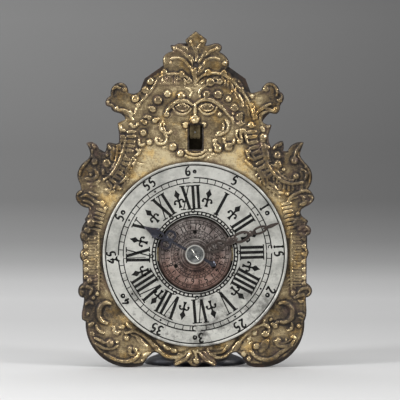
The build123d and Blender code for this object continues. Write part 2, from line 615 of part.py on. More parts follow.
# chased bands of the right half: the line each follows, its width and its height
BANDS = [
    ([(2, 264), (6, 277), (13, 284), (20.5, 287)], 2.6, RELIEF_LOW),
    ([(2.5, 260), (7, 272), (15, 278), (26, 274.5)], 2.8, RELIEF_MID),
    ([(3, 257), (12, 264), (24, 264.5), (36, 258), (45, 247), (49.5, 236)], 3.0, RELIEF_MID),
    ([(5, 249), (15, 254), (27, 252), (36, 245), (41, 236)], 3.0, RELIEF_LOW),
    ([(3, 239), (10, 242), (19, 238.5), (28, 231)], 3.0, RELIEF_HIGH),
    ([(63, 250.5), (68.5, 254), (74.5, 250), (75, 242), (78, 240)], 2.8, RELIEF_MID),
    ([(53, 227), (58, 232), (66, 234.5), (73.5, 231.5)], 2.8, RELIEF_MID),
    ([(52, 226), (53, 213), (57, 197), (64, 183), (76, 171), (92, 165.5)], 3.2, RELIEF_HIGH),
    ([(43, 214), (46, 200), (52, 187), (61, 174), (71, 163)], 2.8, RELIEF_MID),
    ([(62, 216), (62, 206), (65.5, 196)], 3.4, RELIEF_MID),
    ([(76, 201), (74, 190), (75, 180)], 3.8, RELIEF_MID),
    ([(92, 199.5), (89, 191), (92, 184), (99, 180), (102, 172), (97, 166.5)], 3.0, RELIEF_HIGH),
    ([(82, 150), (88, 155.5), (98, 157.5), (104, 153), (100, 148)], 3.0, RELIEF_MID),
    ([(84.5, 120), (84.5, 72)], 2.0, RELIEF_MID),
    ([(98, 117), (98, 76)], 3.0, RELIEF_LOW),
    ([(96, 66), (102, 69.5)], 4.0, RELIEF_MID),
    ([(77, 57), (85, 54), (87, 46), (80, 40.5)], 2.8, RELIEF_HIGH),
    ([(90, 33), (83, 17), (68, 8), (54, 9.5)], 3.0, RELIEF_MID),
    ([(60, 38), (66, 35), (66, 29)], 3.0, RELIEF_MID),
    ([(73, 24), (79, 19.5), (87, 22)], 2.6, RELIEF_LOW),
    ([(53, 34), (44, 27), (37, 17), (29, 11.5), (20, 9.5)], 3.6, RELIEF_HIGH),
    ([(6, 17), (10, 9), (16.5, 4)], 3.4, RELIEF_MID),
]
BOSSES = [                  # raised ovals: centre, half width, half height, height
    ((11, 234), 6.0, 4.6, RELIEF_HIGH), ((92, 173), 6.0, 5.0, RELIEF_LOW),
    ((76, 49), 5.5, 6.0, RELIEF_MID), ((55, 18), 5.0, 3.6, RELIEF_MID),
    ((24, 16.5), 4.4, 3.6, RELIEF_MID), ((66, 246), 6.0, 5.0, RELIEF_LOW),
]
LADDER_X = (87.5, 95.0)     # rungs of the pilaster's ladder band
LADDER_Z = (73.0, 118.0)
LADDER_RUNGS = 14
LADDER_RUNG = 1.4
NOSE = ((0.5, 230.0), 3.4, 10.0)
CHIN = [(-9, 190), (0.5, 186.5), (10, 190)]
CHIN_WIDTH = 3.0
CREST_LOZENGE = ((0.5, 296.0), 8.5)


def relief_pad(sketch, height):
    return slab(sketch, -SHEET - height, -SHEET)


def front_plate():
    plate = slab(front_outline(), -SHEET, 0)
    pads = []
    for side in (1, -1):
        for points, width, height in BANDS:
            places = [(side * x, z) for x, z in points]
            if len(places) > 2:
                line = Spline(*places)
            else:
                line = Line(*places)
            pads.append(relief_pad(trace(line, line_width=width), height))
        for (x, z), half_w, half_h, height in BOSSES:
            pads.append(relief_pad(Pos(side * x, z) * Ellipse(half_w, half_h), height))
        rise = (LADDER_Z[1] - LADDER_Z[0]) / (LADDER_RUNGS - 1)
        for k in range(LADDER_RUNGS):
            rung = Pos(side * sum(LADDER_X) / 2, LADDER_Z[0] + k * rise)
            rung = rung * Rectangle(LADDER_X[1] - LADDER_X[0], LADDER_RUNG)
            pads.append(relief_pad(rung, RELIEF_LOW))
    (x, z), half_w, half_h = NOSE
    pads.append(relief_pad(Pos(x, z) * Ellipse(half_w, half_h), RELIEF_HIGH))
    pads.append(relief_pad(trace(Spline(*CHIN), line_width=CHIN_WIDTH), RELIEF_MID))
    (x, z), side = CREST_LOZENGE
    pads.append(relief_pad(Pos(x, z) * Rot(0, 0, 45) * Rectangle(side, side), RELIEF_LOW))
    plate = plate + pads
    slot = Pos(SLOT_X, (SLOT_LOW + SLOT_HIGH) / 2) * Rectangle(SLOT_WIDTH, SLOT_HIGH - SLOT_LOW)
    plate -= slab(slot, -SHEET - RELIEF_HIGH, 0)
    holes = [rod(ALARM_PIPE_R + PIPE_CLEAR, -SHEET - RELIEF_HIGH, 0)]
    holes += [rod(RIVET_R + SEAT_FIT, -SHEET - RELIEF_HIGH, 0, at) for at in rivet_places()]
    crest = (SLOT_X, CREST_RIVET_Z)
    holes.append(rod(CREST_RIVET_R + SEAT_FIT, -SHEET, 0, crest))
    holes.append(rod(CREST_RIVET_HEAD_R + SLIDE_FIT, -SHEET - RELIEF_HIGH, -SHEET, crest))
    return plate - holes


def backing_plate():
    face = backing_outline()
    slot = Rectangle(SLOT_WIDTH + 2 * SLOT_MARGIN, SLOT_HIGH - SLOT_LOW + 2 * SLOT_MARGIN)
    face -= Pos(SLOT_X, (SLOT_LOW + SLOT_HIGH) / 2) * slot
    face -= Pos(*DIAL) * Circle(ALARM_PIPE_R + PIPE_CLEAR)
    for at in rivet_places():
        face -= Pos(*at) * Circle(RIVET_R + SEAT_FIT)
    face -= Pos(SLOT_X, CREST_RIVET_Z) * Circle(CREST_RIVET_R + SEAT_FIT)
    for at in DIAL_FEET:
        face -= Pos(*at) * Circle(FOOT_TENON_R + SEAT_FIT)
    return slab(face, 0, BACKING)


def crest_rivet():
    head = CREST_RIVET_HEAD_R
    crown = head * RIVET_CROWN
    front = -SHEET - CREST_RIVET_HEAD
    back = BACKING + RIVET_TAIL
    profile = [(0, front), (crown, front), (head, -SHEET), (CREST_RIVET_R, -SHEET)]
    profile += [(CREST_RIVET_R, BACKING), (head, BACKING), (crown, back), (0, back)]
    return turned(profile, (SLOT_X, CREST_RIVET_Z))


# ---------------------------------------------------------------- dial
def rivet_places():
    return [polar(DIAL, RIVET_CIRCLE_R, RING_TILT + 90 * k) for k in range(4)]


def chapter_ring():
    back = RING_FACE + RING_SHEET
    lip_in = RING_R - RING_LIP
    wall = RING_R - SKIRT_SHEET
    outline = [
        Line((RING_BORE_R, RING_FACE), (lip_in, RING_FACE)),
        ThreePointArc((lip_in, RING_FACE), ((lip_in + RING_R) / 2, LIP_FACE), (RING_R, RING_FACE)),
        Line((RING_R, RING_FACE), (RING_R, back + RING_SKIRT)),
        Line((RING_R, back + RING_SKIRT), (wall, back + RING_SKIRT)),
        Line((wall, back + RING_SKIRT), (wall, back)), Line((wall, back), (RING_BORE_R, back)),
        Line((RING_BORE_R, back), (RING_BORE_R, RING_FACE)),
    ]
    section = Plane(origin=(CENTRE_X, -MID_DEPTH, CENTRE_Z)) * make_face(outline)
    ring = revolve(section, Axis((CENTRE_X, 0, CENTRE_Z), (0, 1, 0)))
    return ring - [rod(RIVET_R + SEAT_FIT, RING_FACE, back, at) for at in rivet_places()]


def chapter_ring_rivets():
    back = RING_FACE + RING_SHEET
    front = RING_FACE - RIVET_HEAD
    end = BACKING + RIVET_TAIL
    profile = [(0, front), (RIVET_HEAD_R, front), (RIVET_HEAD_R, RING_FACE), (RIVET_R, RING_FACE)]
    profile += [(RIVET_R, back), (RIVET_COLLAR_R, back), (RIVET_COLLAR_R, -SHEET), (RIVET_R, -SHEET)]
    profile += [(RIVET_R, BACKING), (RIVET_HEAD_R, BACKING), (RIVET_HEAD_R, end), (0, end)]
    return [turned(profile, at) for at in rivet_places()]


def alarm_disc():
    back = DISC_FACE + DISC_SHEET
    pipe_end = FRONT_D0 - CAM_D + CAM_SHEET
    bore = HOUR_PIPE_R + SLIDE_FIT
    boss = DISC_FACE - DISC_BOSS
    rim = DISC_FACE - DISC_RIM_HEIGHT
    profile = [(bore, boss), (ALARM_PIPE_R, boss), (ALARM_PIPE_R + DISC_BOSS_WIDE, DISC_FACE)]
    profile += [(DISC_R - DISC_RIM, DISC_FACE), (DISC_R - DISC_RIM, rim), (DISC_R, rim), (DISC_R, back)]
    profile += [(ALARM_PIPE_R, back), (ALARM_PIPE_R, pipe_end), (bore, pipe_end)]
    disc = turned(profile)
    return disc - [rod(DISC_HOLE_R, DISC_FACE, back, polar(DIAL, DISC_HOLE_CIRCLE, a))
                   for a in DISC_HOLE_ANGLES]


def alarm_cam():
    face = Circle(CAM_R) - Circle(ALARM_PIPE_R + SEAT_FIT)
    square = Rectangle(CAM_NOTCH_SIDE, CAM_NOTCH_SIDE)
    notch = Rot(0, 0, DETENT_NOSE_ANGLE + CAM_NOTCH) * Pos(CAM_R, 0) * Rot(0, 0, 45) * square
    return slab(Pos(*DIAL) * (face - notch), FRONT_D0 - CAM_D, FRONT_D0 - CAM_D + CAM_SHEET)


# ---------------------------------------------------------------- hands
def hand(parts, angle, front, back):
    """A hand drawn along local +X, turned to its place clockwise from twelve."""
    return slab(Pos(*DIAL) * Rot(0, 0, 90 - angle) * parts, front, back)


def loop(start, end, half_width, wire, side=0.0):
    """A pierced long loop of a hand."""
    half = (end - start) / 2
    pierced = Ellipse(half, half_width) - Ellipse(half - wire, half_width - wire)
    return Pos((start + end) / 2, side) * pierced


def blade(stations):
    """A flat shape from stations along the hand: how far out, and half its width there."""
    upper = [(u, half) for u, half in stations]
    lower = [(u, -half) for u, half in reversed(stations)]
    return make_face(Polyline(*(upper + lower), close=True))


def minute_hand():
    hub = Circle(MINUTE_HUB_R)
    width, length, lean = MINUTE_BAR
    parts = hub + [loop(*values) for values in MINUTE_LOOPS]
    parts = parts + [Pos(u, 0) * Rot(0, 0, lean) * Rectangle(width, length) for u in MINUTE_BARS]
    parts = parts + [blade(stations) for stations in MINUTE_BLADES]
    return hand(parts - Circle(CANNON_R + SEAT_FIT), MINUTE_ANGLE, MINUTE_FACE, MINUTE_BACK)


def hour_hand():
    hub = Circle(HOUR_PIPE_R + HOUR_HUB)
    parts = hub + [loop(*values) for values in HOUR_LOOPS] + [blade(stations) for stations in HOUR_BLADES]
    return hand(parts - Circle(HOUR_PIPE_R + SEAT_FIT), HOUR_ANGLE, HOUR_FACE, HOUR_BACK)


def hand_collet():
    back = CANNON_FACE - COLLET_PLAY
    bore = ARBOR_R + SEAT_FIT
    edge = back - COLLET_EDGE
    profile = [(bore, COLLET_FACE), (COLLET_FLAT_R, COLLET_FACE), (COLLET_R, edge)]
    return turned(profile + [(COLLET_R, back), (bore, back)])


def cross_pin(radius, length):
    """A round pin through the end of the centre arbor, over the collet."""
    y = COLLET_FACE - HAND_PIN_R - HAND_PIN_CLEAR - MID_DEPTH
    x, z = polar(DIAL, -length / 2, HAND_PIN_LEAN)
    along = (cos(radians(HAND_PIN_LEAN)), 0, sin(radians(HAND_PIN_LEAN)))
    return extrude(Plane(origin=(x, y, z), z_dir=along) * Circle(radius), amount=length)


def hand_pin():
    return cross_pin(HAND_PIN_R, HAND_PIN_LENGTH)


# ---------------------------------------------------------------- motion work
def centre_arbor():
    phase = gap_phase(CENTRE_LEAVES, BARREL_ANGLE)
    pinion = Pos(*DIAL) * pinion_outline(CENTRE_LEAVES, GREAT_MODULE, phase)
    front = FRONT_D1 + CENTRE_PINION_D
    leaves = slab(pinion, front, front + LEAF_LENGTH)
    shoulder = FRONT_D1 + END_SHAKE
    seat = FRONT_D1 + CENTRE_WHEEL_D
    profile = [(0, ARBOR_FACE), (ARBOR_R, ARBOR_FACE), (ARBOR_R, shoulder), (SHOULDER_R, shoulder)]
    profile += [(SHOULDER_R, seat), (ARBOR_R, seat)]
    shaft = turned(profile + back_pivot(ARBOR_R))
    return shaft + leaves - cross_pin(HAND_PIN_R + SEAT_FIT, 4 * ARBOR_R)


def centre_wheel():
    face = spoked_wheel(CENTRE_TEETH, CENTRE_MODULE, heading(DIAL, THIRD), ARBOR_R + SEAT_FIT, CENTRE_HUB_R)
    front = FRONT_D1 + CENTRE_WHEEL_D
    return slab(Pos(*DIAL) * face, front, front + WHEEL_SHEET)


def cannon_pinion():
    bore = ARBOR_R + SLIDE_FIT
    leaves_front = FRONT_D0 - MINUTE_WHEEL_D - WHEEL_SHEET - CANNON_LEAF_LEAD
    back = FRONT_D0 - CANNON_BACK
    pipe = rod(CANNON_R, CANNON_FACE, leaves_front, bore=bore)
    leaves = pinion_outline(CANNON_LEAVES, CANNON_MODULE, MOTION_ANGLE) - Circle(bore)
    return pipe + slab(Pos(*DIAL) * leaves, leaves_front, back)


def minute_wheel():
    """Minute wheel and its pinion, one piece on a stud."""
    bore = STUD_R + SLIDE_FIT
    back = FRONT_D0 - MINUTE_WHEEL_D
    front = back - WHEEL_SHEET
    inward = MOTION_ANGLE + 180
    phase = gap_phase(MINUTE_TEETH, inward)
    wheel = spoked_wheel(MINUTE_TEETH, CANNON_MODULE, phase, bore, MINUTE_WHEEL_HUB_R, 3)
    leaves = pinion_outline(MINUTE_LEAVES, HOUR_MODULE, gap_phase(MINUTE_LEAVES, inward)) - Circle(bore)
    return (slab(Pos(*MINUTE_STUD) * wheel, front, back)
            + slab(Pos(*MINUTE_STUD) * leaves, front - MINUTE_PINION_LENGTH, front))


def hour_wheel():
    """Hour wheel and the pipe that carries the hour hand."""
    bore = CANNON_R + SLIDE_FIT
    back = FRONT_D0 - HOUR_WHEEL_D
    face = spoked_wheel(HOUR_TEETH, HOUR_MODULE, MOTION_ANGLE, bore, HOUR_PIPE_R + HOUR_WHEEL_HUB, 3)
    wheel = slab(Pos(*DIAL) * face, back - WHEEL_SHEET, back)
    return wheel + rod(HOUR_PIPE_R, HOUR_FACE - CANNON_OVER, back - WHEEL_SHEET, bore=bore)


# ---------------------------------------------------------------- movement frame
def frame_outline():
    body = Pos(CENTRE_X, (FRAME_LOW + FRAME_SHOULDER) / 2) * RectangleRounded(
        2 * FRAME_HALF, FRAME_SHOULDER - FRAME_LOW, FRAME_CORNER)
    neck_low = FRAME_SHOULDER - 2 * FRAME_CORNER
    neck = Pos(CENTRE_X, (neck_low + FRAME_TOP) / 2) * RectangleRounded(
        2 * NECK_HALF, FRAME_TOP - neck_low, FRAME_CORNER)
    return body + neck


def pillar_places():
    return [(CENTRE_X + side * PILLAR_X, z) for side in (-1, 1) for z in (PILLAR_LOW_Z, PILLAR_HIGH_Z)]


def plate_with_holes(holes, front, back):
    face = frame_outline()
    for at, radius in holes:
        face -= Pos(*at) * Circle(radius)
    return slab(face, front, back)


def train_pivots():
    pivot = PIVOT_R + SLIDE_FIT
    barrel = BARREL_PIVOT_R + SLIDE_FIT
    return [(THIRD, pivot), (CONTRATE, pivot), (BARREL, barrel), (ALARM_BARREL, barrel)]


def movement_front_plate():
    holes = train_pivots() + [(DIAL, ARBOR_R + SLIDE_FIT)]
    holes += [(ALARM_CROWN, TRAIN_ARBOR_R + SLIDE_FIT), ((CENTRE_X, VERGE_Z), 2 * VERGE_R)]
    holes += [(at, PILLAR_TENON_R + SEAT_FIT) for at in pillar_places()]
    holes += [(at, FOOT_TENON_R + SEAT_FIT) for at in DIAL_FEET]
    return plate_with_holes(holes, FRONT_D0, FRONT_D1)


def movement_back_plate():
    holes = train_pivots() + [(DIAL, PIVOT_R + SLIDE_FIT), (ALARM_CROWN, PIVOT_R + SLIDE_FIT),
                              ((CENTRE_X, VERGE_Z), 2 * VERGE_R)]
    holes += [(at, PILLAR_TENON_R + SEAT_FIT) for at in pillar_places()]
    return plate_with_holes(holes, BACK_D0, BACK_D1)


def movement_pillars():
    """Turned pillars, alike at both ends, tenoned through the plates."""
    middle = (FRONT_D1 + BACK_D0) / 2
    taper = 2 * PILLAR_FOOT
    end = BACK_D1 + PILLAR_TENON
    profile = [(0, FRONT_D0), (PILLAR_TENON_R, FRONT_D0), (PILLAR_TENON_R, FRONT_D1)]
    profile += [(PILLAR_KNOP_R, FRONT_D1), (PILLAR_KNOP_R, FRONT_D1 + PILLAR_FOOT)]
    profile += [(PILLAR_NECK_R, FRONT_D1 + taper), (PILLAR_NECK_R, middle - PILLAR_KNOP)]
    profile += [(PILLAR_KNOP_R, middle)]
    profile += [(PILLAR_NECK_R, middle + PILLAR_KNOP), (PILLAR_NECK_R, BACK_D0 - taper)]
    profile += [(PILLAR_KNOP_R, BACK_D0 - PILLAR_FOOT), (PILLAR_KNOP_R, BACK_D0)]
    profile += [(PILLAR_TENON_R, BACK_D0), (PILLAR_TENON_R, end), (0, end)]
    return [turned(profile, at) - pillar_pin(at, PILLAR_PIN_R + SEAT_FIT) for at in pillar_places()]


def pillar_pin(at, radius):
    y = BACK_D1 + PILLAR_PIN_GAP + PILLAR_PIN_R - MID_DEPTH
    plane = Plane(origin=(at[0], y, at[1] - PILLAR_PIN_LENGTH / 2), z_dir=(0, 0, 1))
    return extrude(plane * Circle(radius), amount=PILLAR_PIN_LENGTH)


def pillar_pins():
    return [pillar_pin(at, PILLAR_PIN_R) for at in pillar_places()]


def dial_feet():
    """Round feet between the backing plate and the movement, tenoned into both."""
    front = FOOT_SINK
    end = FRONT_D1 + FOOT_OVER
    profile = [(0, front), (FOOT_TENON_R, front), (FOOT_TENON_R, BACKING), (DIAL_FOOT_R, BACKING)]
    profile += [(DIAL_FOOT_R, FRONT_D0), (FOOT_TENON_R, FRONT_D0), (FOOT_TENON_R, end), (0, end)]
    return [turned(profile, at) for at in DIAL_FEET]


def plate_studs():
    """Studs riveted to the movement plates: minute wheel, detent and the two clicks."""
    wheel_back = FRONT_D0 - MINUTE_WHEEL_D
    wheel_front = wheel_back - WHEEL_SHEET - MINUTE_PINION_LENGTH
    lever = FRONT_D0 - CAM_D
    turning = ((MINUTE_STUD, wheel_front, wheel_back), (DETENT_PIVOT, lever, lever + DETENT_SHEET))
    studs = []
    for at, front, collar in turning:
        stud = rod(STUD_R, front - STUD_OVER, FRONT_D0, at)
        studs.append(stud + rod(2 * STUD_R, collar + STUD_GAP, FRONT_D0, at))
    head = BACK_D1 + RATCHET_GAP + RATCHET_SHEET + CLICK_GAP
    for at in (click_pivot(BARREL), click_pivot(ALARM_BARREL)):
        stud = rod(CLICK_STUD_R, BACK_D1, head, at)
        studs.append(stud + rod(CLICK_HEAD_R, head, head + CLICK_HEAD, at))
    return studs


# ---------------------------------------------------------------- going train
def back_pivot(radius):
    """Profile of an arbor's shoulder and pivot in the movement back plate."""
    shoulder = BACK_D0 - END_SHAKE
    end = BACK_D1 + PIVOT_OVER
    return [(radius, shoulder), (PIVOT_R, shoulder), (PIVOT_R, end), (0, end)]


def train_arbor(at, leaves, module, phase, leaf_front, front_end=None):
    """Steel arbor between the movement plates with its pinion leaves."""
    if front_end is None:
        start = FRONT_D0 - PIVOT_OVER
        shoulder = FRONT_D1 + END_SHAKE
        nose = [(0, start), (PIVOT_R, start), (PIVOT_R, shoulder), (TRAIN_ARBOR_R, shoulder)]
    else:
        nose = [(0, front_end), (TRAIN_ARBOR_R, front_end)]
    outline = Pos(*at) * pinion_outline(leaves, module, phase)
    shaft = turned(nose + back_pivot(TRAIN_ARBOR_R), at)
    return shaft + slab(outline, leaf_front, leaf_front + LEAF_LENGTH)


def third_arbor():
    phase = gap_phase(THIRD_LEAVES, heading(THIRD, DIAL))
    return train_arbor(THIRD, THIRD_LEAVES, CENTRE_MODULE, phase, FRONT_D1 + THIRD_PINION_D)


def third_wheel():
    bore = TRAIN_ARBOR_R + SEAT_FIT
    face = spoked_wheel(THIRD_TEETH, THIRD_MODULE, heading(THIRD, CONTRATE), bore, HUB_R)
    front = FRONT_D1 + THIRD_WHEEL_D
    return slab(Pos(*THIRD) * face, front, front + WHEEL_SHEET)


def contrate_arbor():
    phase = gap_phase(CONTRATE_LEAVES, heading(CONTRATE, THIRD))
    return train_arbor(CONTRATE, CONTRATE_LEAVES, THIRD_MODULE, phase, FRONT_D1 + CONTRATE_PINION_D)


def contrate_wheel():
    """A wheel whose teeth stand out backwards and drive the upright crown arbor."""
    r_out = CONTRATE_TEETH * CONTRATE_MODULE / 2 + CONTRATE_BAND / 2
    rim = CONTRATE_ROOT_D - CONTRATE_WEB_D
    tooth = CONTRATE_TIP_D - CONTRATE_ROOT_D
    crown = crown_of_teeth(CONTRATE_TEETH, r_out, CONTRATE_BAND, rim, tooth, -90)
    web = Circle(r_out) - crossings(4, HUB_R, r_out - CONTRATE_BAND) - Circle(TRAIN_ARBOR_R + SEAT_FIT)
    wheel = crown + extrude(web, amount=WHEEL_SHEET)
    origin = (CONTRATE[0], CONTRATE_WEB_D - MID_DEPTH, CONTRATE[1])
    return Plane(origin=origin, x_dir=(1, 0, 0), z_dir=(0, 1, 0)) * wheel


def crown_arbor():
    low = CROWN_MESH_Z - CROWN_FOOT_DROP
    leaves = pinion_outline(CROWN_LEAVES, CONTRATE_MODULE, gap_phase(CROWN_LEAVES, -90))
    place = Pos(CENTRE_X, CROWN_AXIS_D - MID_DEPTH)
    pinion_low = Plane.XY.offset(CROWN_MESH_Z - CROWN_PINION_LENGTH / 2)
    pinion = extrude(pinion_low * place * leaves, amount=CROWN_PINION_LENGTH)
    shaft = post(CROWN_ARBOR_R, low + CROWN_SHAKE, CROWN_TIP_Z, CENTRE_X, CROWN_AXIS_D)
    pivot_top = CROWN_TIP_Z + POTENCE_GAP + POTENCE_SHEET - CROWN_PIVOT_SINK
    pivots = post(PIVOT_R, low - CROWN_PIVOT, pivot_top, CENTRE_X, CROWN_AXIS_D)
    return shaft + pivots + pinion


def crown_wheel():
    low = CROWN_TIP_Z - CROWN_TOOTH - CROWN_RIM
    crown = crown_of_teeth(CROWN_TEETH, CROWN_R, CROWN_BAND, CROWN_RIM, CROWN_TOOTH, 0, saw=True)
    rim_in = CROWN_R - CROWN_BAND - CROWN_FILLET
    web = Circle(CROWN_R) - crossings(3, CROWN_HUB_R, rim_in) - Circle(CROWN_ARBOR_R + SEAT_FIT)
    wheel = crown + extrude(web, amount=CROWN_WEB)
    return Pos(CENTRE_X, CROWN_AXIS_D - MID_DEPTH, low) * wheel


def bottom_potence():
    """Bar from the back plate that carries the foot of the crown arbor."""
    top = CROWN_MESH_Z - CROWN_FOOT_DROP
    low = top - FOOT_BAR_HIGH
    front = CONTRATE_TIP_D + FOOT_BAR_GAP
    block = bar(CENTRE_X - FOOT_BAR_HALF, CENTRE_X + FOOT_BAR_HALF, front, BACK_D0, low, top)
    return block - post(PIVOT_R + SLIDE_FIT, low, top, CENTRE_X, CROWN_AXIS_D)


def top_potence():
    """Bent arm over the crown wheel, between its pallets, under the verge."""
    low = CROWN_TIP_Z + POTENCE_GAP
    high = low + POTENCE_SHEET
    foot_in = CENTRE_X + CROWN_R + POTENCE_CLEAR
    foot_out = foot_in + POTENCE_FOOT
    front = CROWN_AXIS_D - POTENCE_HALF
    arm = bar(CENTRE_X - POTENCE_HALF, foot_out, front, CROWN_AXIS_D + POTENCE_HALF, low, high)
    foot = bar(foot_in, foot_out, front, BACK_D0, low - POTENCE_DROP, high)
    return arm + foot - post(PIVOT_R + SLIDE_FIT, low, high, CENTRE_X, CROWN_AXIS_D)


def verge():
    """Verge arbor with its two pallets, in one piece."""
    at = (CENTRE_X, VERGE_Z)
    front = FRONT_D0 - FRONT_COCK_STAND
    back = BACK_D1 + COCK_STAND
    first = front + COCK_SHEET + COCK_SHAKE
    last = back - COCK_SHEET - COCK_SHAKE
    profile = [(0, front), (PIVOT_R, front), (PIVOT_R, first), (VERGE_R, first)]
    profile += [(VERGE_R, last), (PIVOT_R, last), (PIVOT_R, back), (0, back)]
    shaft = turned(profile, at)
    reach = CROWN_TIP_DROP - PALLET_CLEAR
    pallets = []
    for side in (-1, 1):
        middle = CROWN_AXIS_D + side * (CROWN_R - CROWN_BAND / 2)
        flag = Pos(reach / 2, 0) * Rectangle(reach, PALLET_SHEET)
        flag = Pos(*at) * Rot(0, 0, -90 + side * PALLET_SPREAD) * flag
        pallets.append(slab(flag, middle - PALLET_WIDTH / 2, middle + PALLET_WIDTH / 2))
    return shaft + pallets


def verge_front_cock():
    """Brass cock on the movement front plate, seen through the mouth slot."""
    front = FRONT_D0 - FRONT_COCK_STAND
    half = FRONT_COCK_WIDTH / 2
    lobe = half * COCK_LOBE
    low = FRONT_COCK_LOW + lobe
    top = FRAME_TOP - COCK_TOP_DROP
    face = Pos(0, (low + top) / 2) * Rectangle(FRONT_COCK_WIDTH, top - low)
    for x in (-half + lobe, 0, half - lobe):
        face += Pos(x, low) * Circle(lobe)
    face -= Pos(0, VERGE_Z) * Circle(PIVOT_R + SLIDE_FIT)
    cock = slab(Pos(CENTRE_X, 0) * face, front, front + COCK_SHEET)
    return cock + bar(CENTRE_X - half, CENTRE_X + half, front, FRONT_D0, top - COCK_FOOT, top)


def back_cock():
    """Brass bridge over the pendulum that carries the back pivot of the verge."""
    back = BACK_D1 + COCK_STAND
    low = VERGE_Z - BACK_COCK_UNDER
    top = FRAME_TOP - COCK_TOP_DROP
    high = top + BACK_COCK_OVER
    face = Pos(0, (low + high) / 2) * RectangleRounded(BACK_COCK_WIDTH, high - low, BACK_COCK_ROUND)
    face -= Pos(0, VERGE_Z) * Circle(PIVOT_R + SLIDE_FIT)
    cock = slab(Pos(CENTRE_X, 0) * face, back - COCK_SHEET, back)
    foot_left = CENTRE_X - BACK_FOOT_HALF
    foot_right = CENTRE_X + BACK_FOOT_HALF
    return cock + bar(foot_left, foot_right, BACK_D1, back - COCK_SHEET, top - BACK_FOOT, top)


def pendulum_rod():
    front = PENDULUM_PLANE - PENDULUM_BOSS / 2
    boss = rod(PENDULUM_BOSS_R, front, front + PENDULUM_BOSS, (CENTRE_X, VERGE_Z), bore=VERGE_R + SEAT_FIT)
    low = VERGE_Z - PENDULUM_LENGTH - BOB_R - PENDULUM_ROD_OVER
    top = VERGE_Z - (PENDULUM_BOSS_R + VERGE_R) / 2
    return boss + post(PENDULUM_ROD_R, low, top, CENTRE_X, PENDULUM_PLANE)


def pendulum_bob():
    """Lens of cast lead and brass, slid on the rod."""
    at = (CENTRE_X, VERGE_Z - PENDULUM_LENGTH)
    half = BOB_SHEET / 2
    front = (0, PENDULUM_PLANE - half)
    rim = (BOB_R, PENDULUM_PLANE)
    back = (0, PENDULUM_PLANE + half)
    part_way = BOB_SWELL[0] * BOB_R
    swell = BOB_SWELL[1] * half
    face = make_face([
        ThreePointArc(front, (part_way, PENDULUM_PLANE - swell), rim),
        ThreePointArc(rim, (part_way, PENDULUM_PLANE + swell), back),
        Line(back, front),
    ])
    section = Plane(origin=(at[0], -MID_DEPTH, at[1])) * face
    lens = revolve(section, Axis((at[0], 0, at[1]), (0, 1, 0)))
    return lens - post(PENDULUM_ROD_R + SEAT_FIT, at[1] - BOB_R, at[1] + BOB_R, CENTRE_X, PENDULUM_PLANE)


# ---------------------------------------------------------------- barrels and winding
def barrel(at, teeth, module, phase, wheel_d, sheet, drum_r, length):
    """Great wheel with the spring drum behind it."""
    bore = BARREL_ARBOR_R + SLIDE_FIT
    front = FRONT_D1 + wheel_d
    wheel = wheel_outline(teeth, module, phase) - Circle(bore)
    drum = Circle(drum_r) - Circle(drum_r - DRUM_WALL)
    drum_front = front + sheet
    toothed = slab(Pos(*at) * wheel, front, drum_front)
    return toothed + slab(Pos(*at) * drum, drum_front, drum_front + length)


def barrel_cap(at, wheel_d, sheet, drum_r, length):
    back = FRONT_D1 + wheel_d + sheet + length
    bore = BARREL_ARBOR_R + SLIDE_FIT
    return rod(drum_r - DRUM_WALL - SEAT_FIT, back - BARREL_CAP, back, at, bore=bore)


def mainspring(at, wheel_d, sheet, drum_r, length):
    """Coiled spring from the arbor to the drum wall."""
    front = FRONT_D1 + wheel_d + sheet + SPRING_CLEAR
    back = FRONT_D1 + wheel_d + sheet + length - BARREL_CAP - SPRING_CLEAR
    inner = BARREL_ARBOR_R + SPRING_CLEAR
    outer = drum_r - DRUM_WALL - SPRING_CLEAR - SPRING_SHEET
    steps = SPRING_TURNS * SPRING_STEPS
    inside = []
    outside = []
    for k in range(steps + 1):
        radius = inner + (outer - inner) * k / steps
        inside.append(polar((0, 0), radius, 360.0 / SPRING_STEPS * k))
        outside.append(polar((0, 0), radius + SPRING_SHEET, 360.0 / SPRING_STEPS * k))
    coil = make_face(Polyline(*(inside + outside[::-1]), close=True))
    return slab(Pos(*at) * coil, front, back)


def barrel_arbor(at):
    """Barrel arbor with its winding square at the back."""
    start = FRONT_D0 - END_SHAKE
    shoulder = FRONT_D1 + END_SHAKE
    back_shoulder = BACK_D0 - END_SHAKE
    end = BACK_D1 + RATCHET_GAP + RATCHET_SHEET + SQUARE_BASE
    profile = [(0, start), (BARREL_PIVOT_R, start), (BARREL_PIVOT_R, shoulder), (BARREL_ARBOR_R, shoulder)]
    profile += [(BARREL_ARBOR_R, back_shoulder), (BARREL_PIVOT_R, back_shoulder)]
    profile += [(BARREL_PIVOT_R, end), (0, end)]
    shaft = turned(profile, at)
    return shaft + slab(Pos(*at) * Rectangle(SQUARE, SQUARE), end, end + SQUARE_LENGTH)


def ratchet_wheel(at):
    points = []
    for k in range(RATCHET_TEETH):
        a = 360.0 * k / RATCHET_TEETH
        points.append(polar((0, 0), RATCHET_R, a))
        points.append(polar((0, 0), RATCHET_R - RATCHET_TOOTH, a + RATCHET_UNDERCUT))
    face = make_face(Polyline(*points, close=True)) - Circle(BARREL_PIVOT_R + SEAT_FIT)
    return slab(Pos(*at) * face, BACK_D1 + RATCHET_GAP, BACK_D1 + RATCHET_GAP + RATCHET_SHEET)


def click_nose(at):
    return polar(at, RATCHET_R + CLICK_CLEAR, CLICK_SIDE)


def click_pivot(at):
    return polar(click_nose(at), CLICK_LENGTH, CLICK_SIDE - CLICK_LEAN)


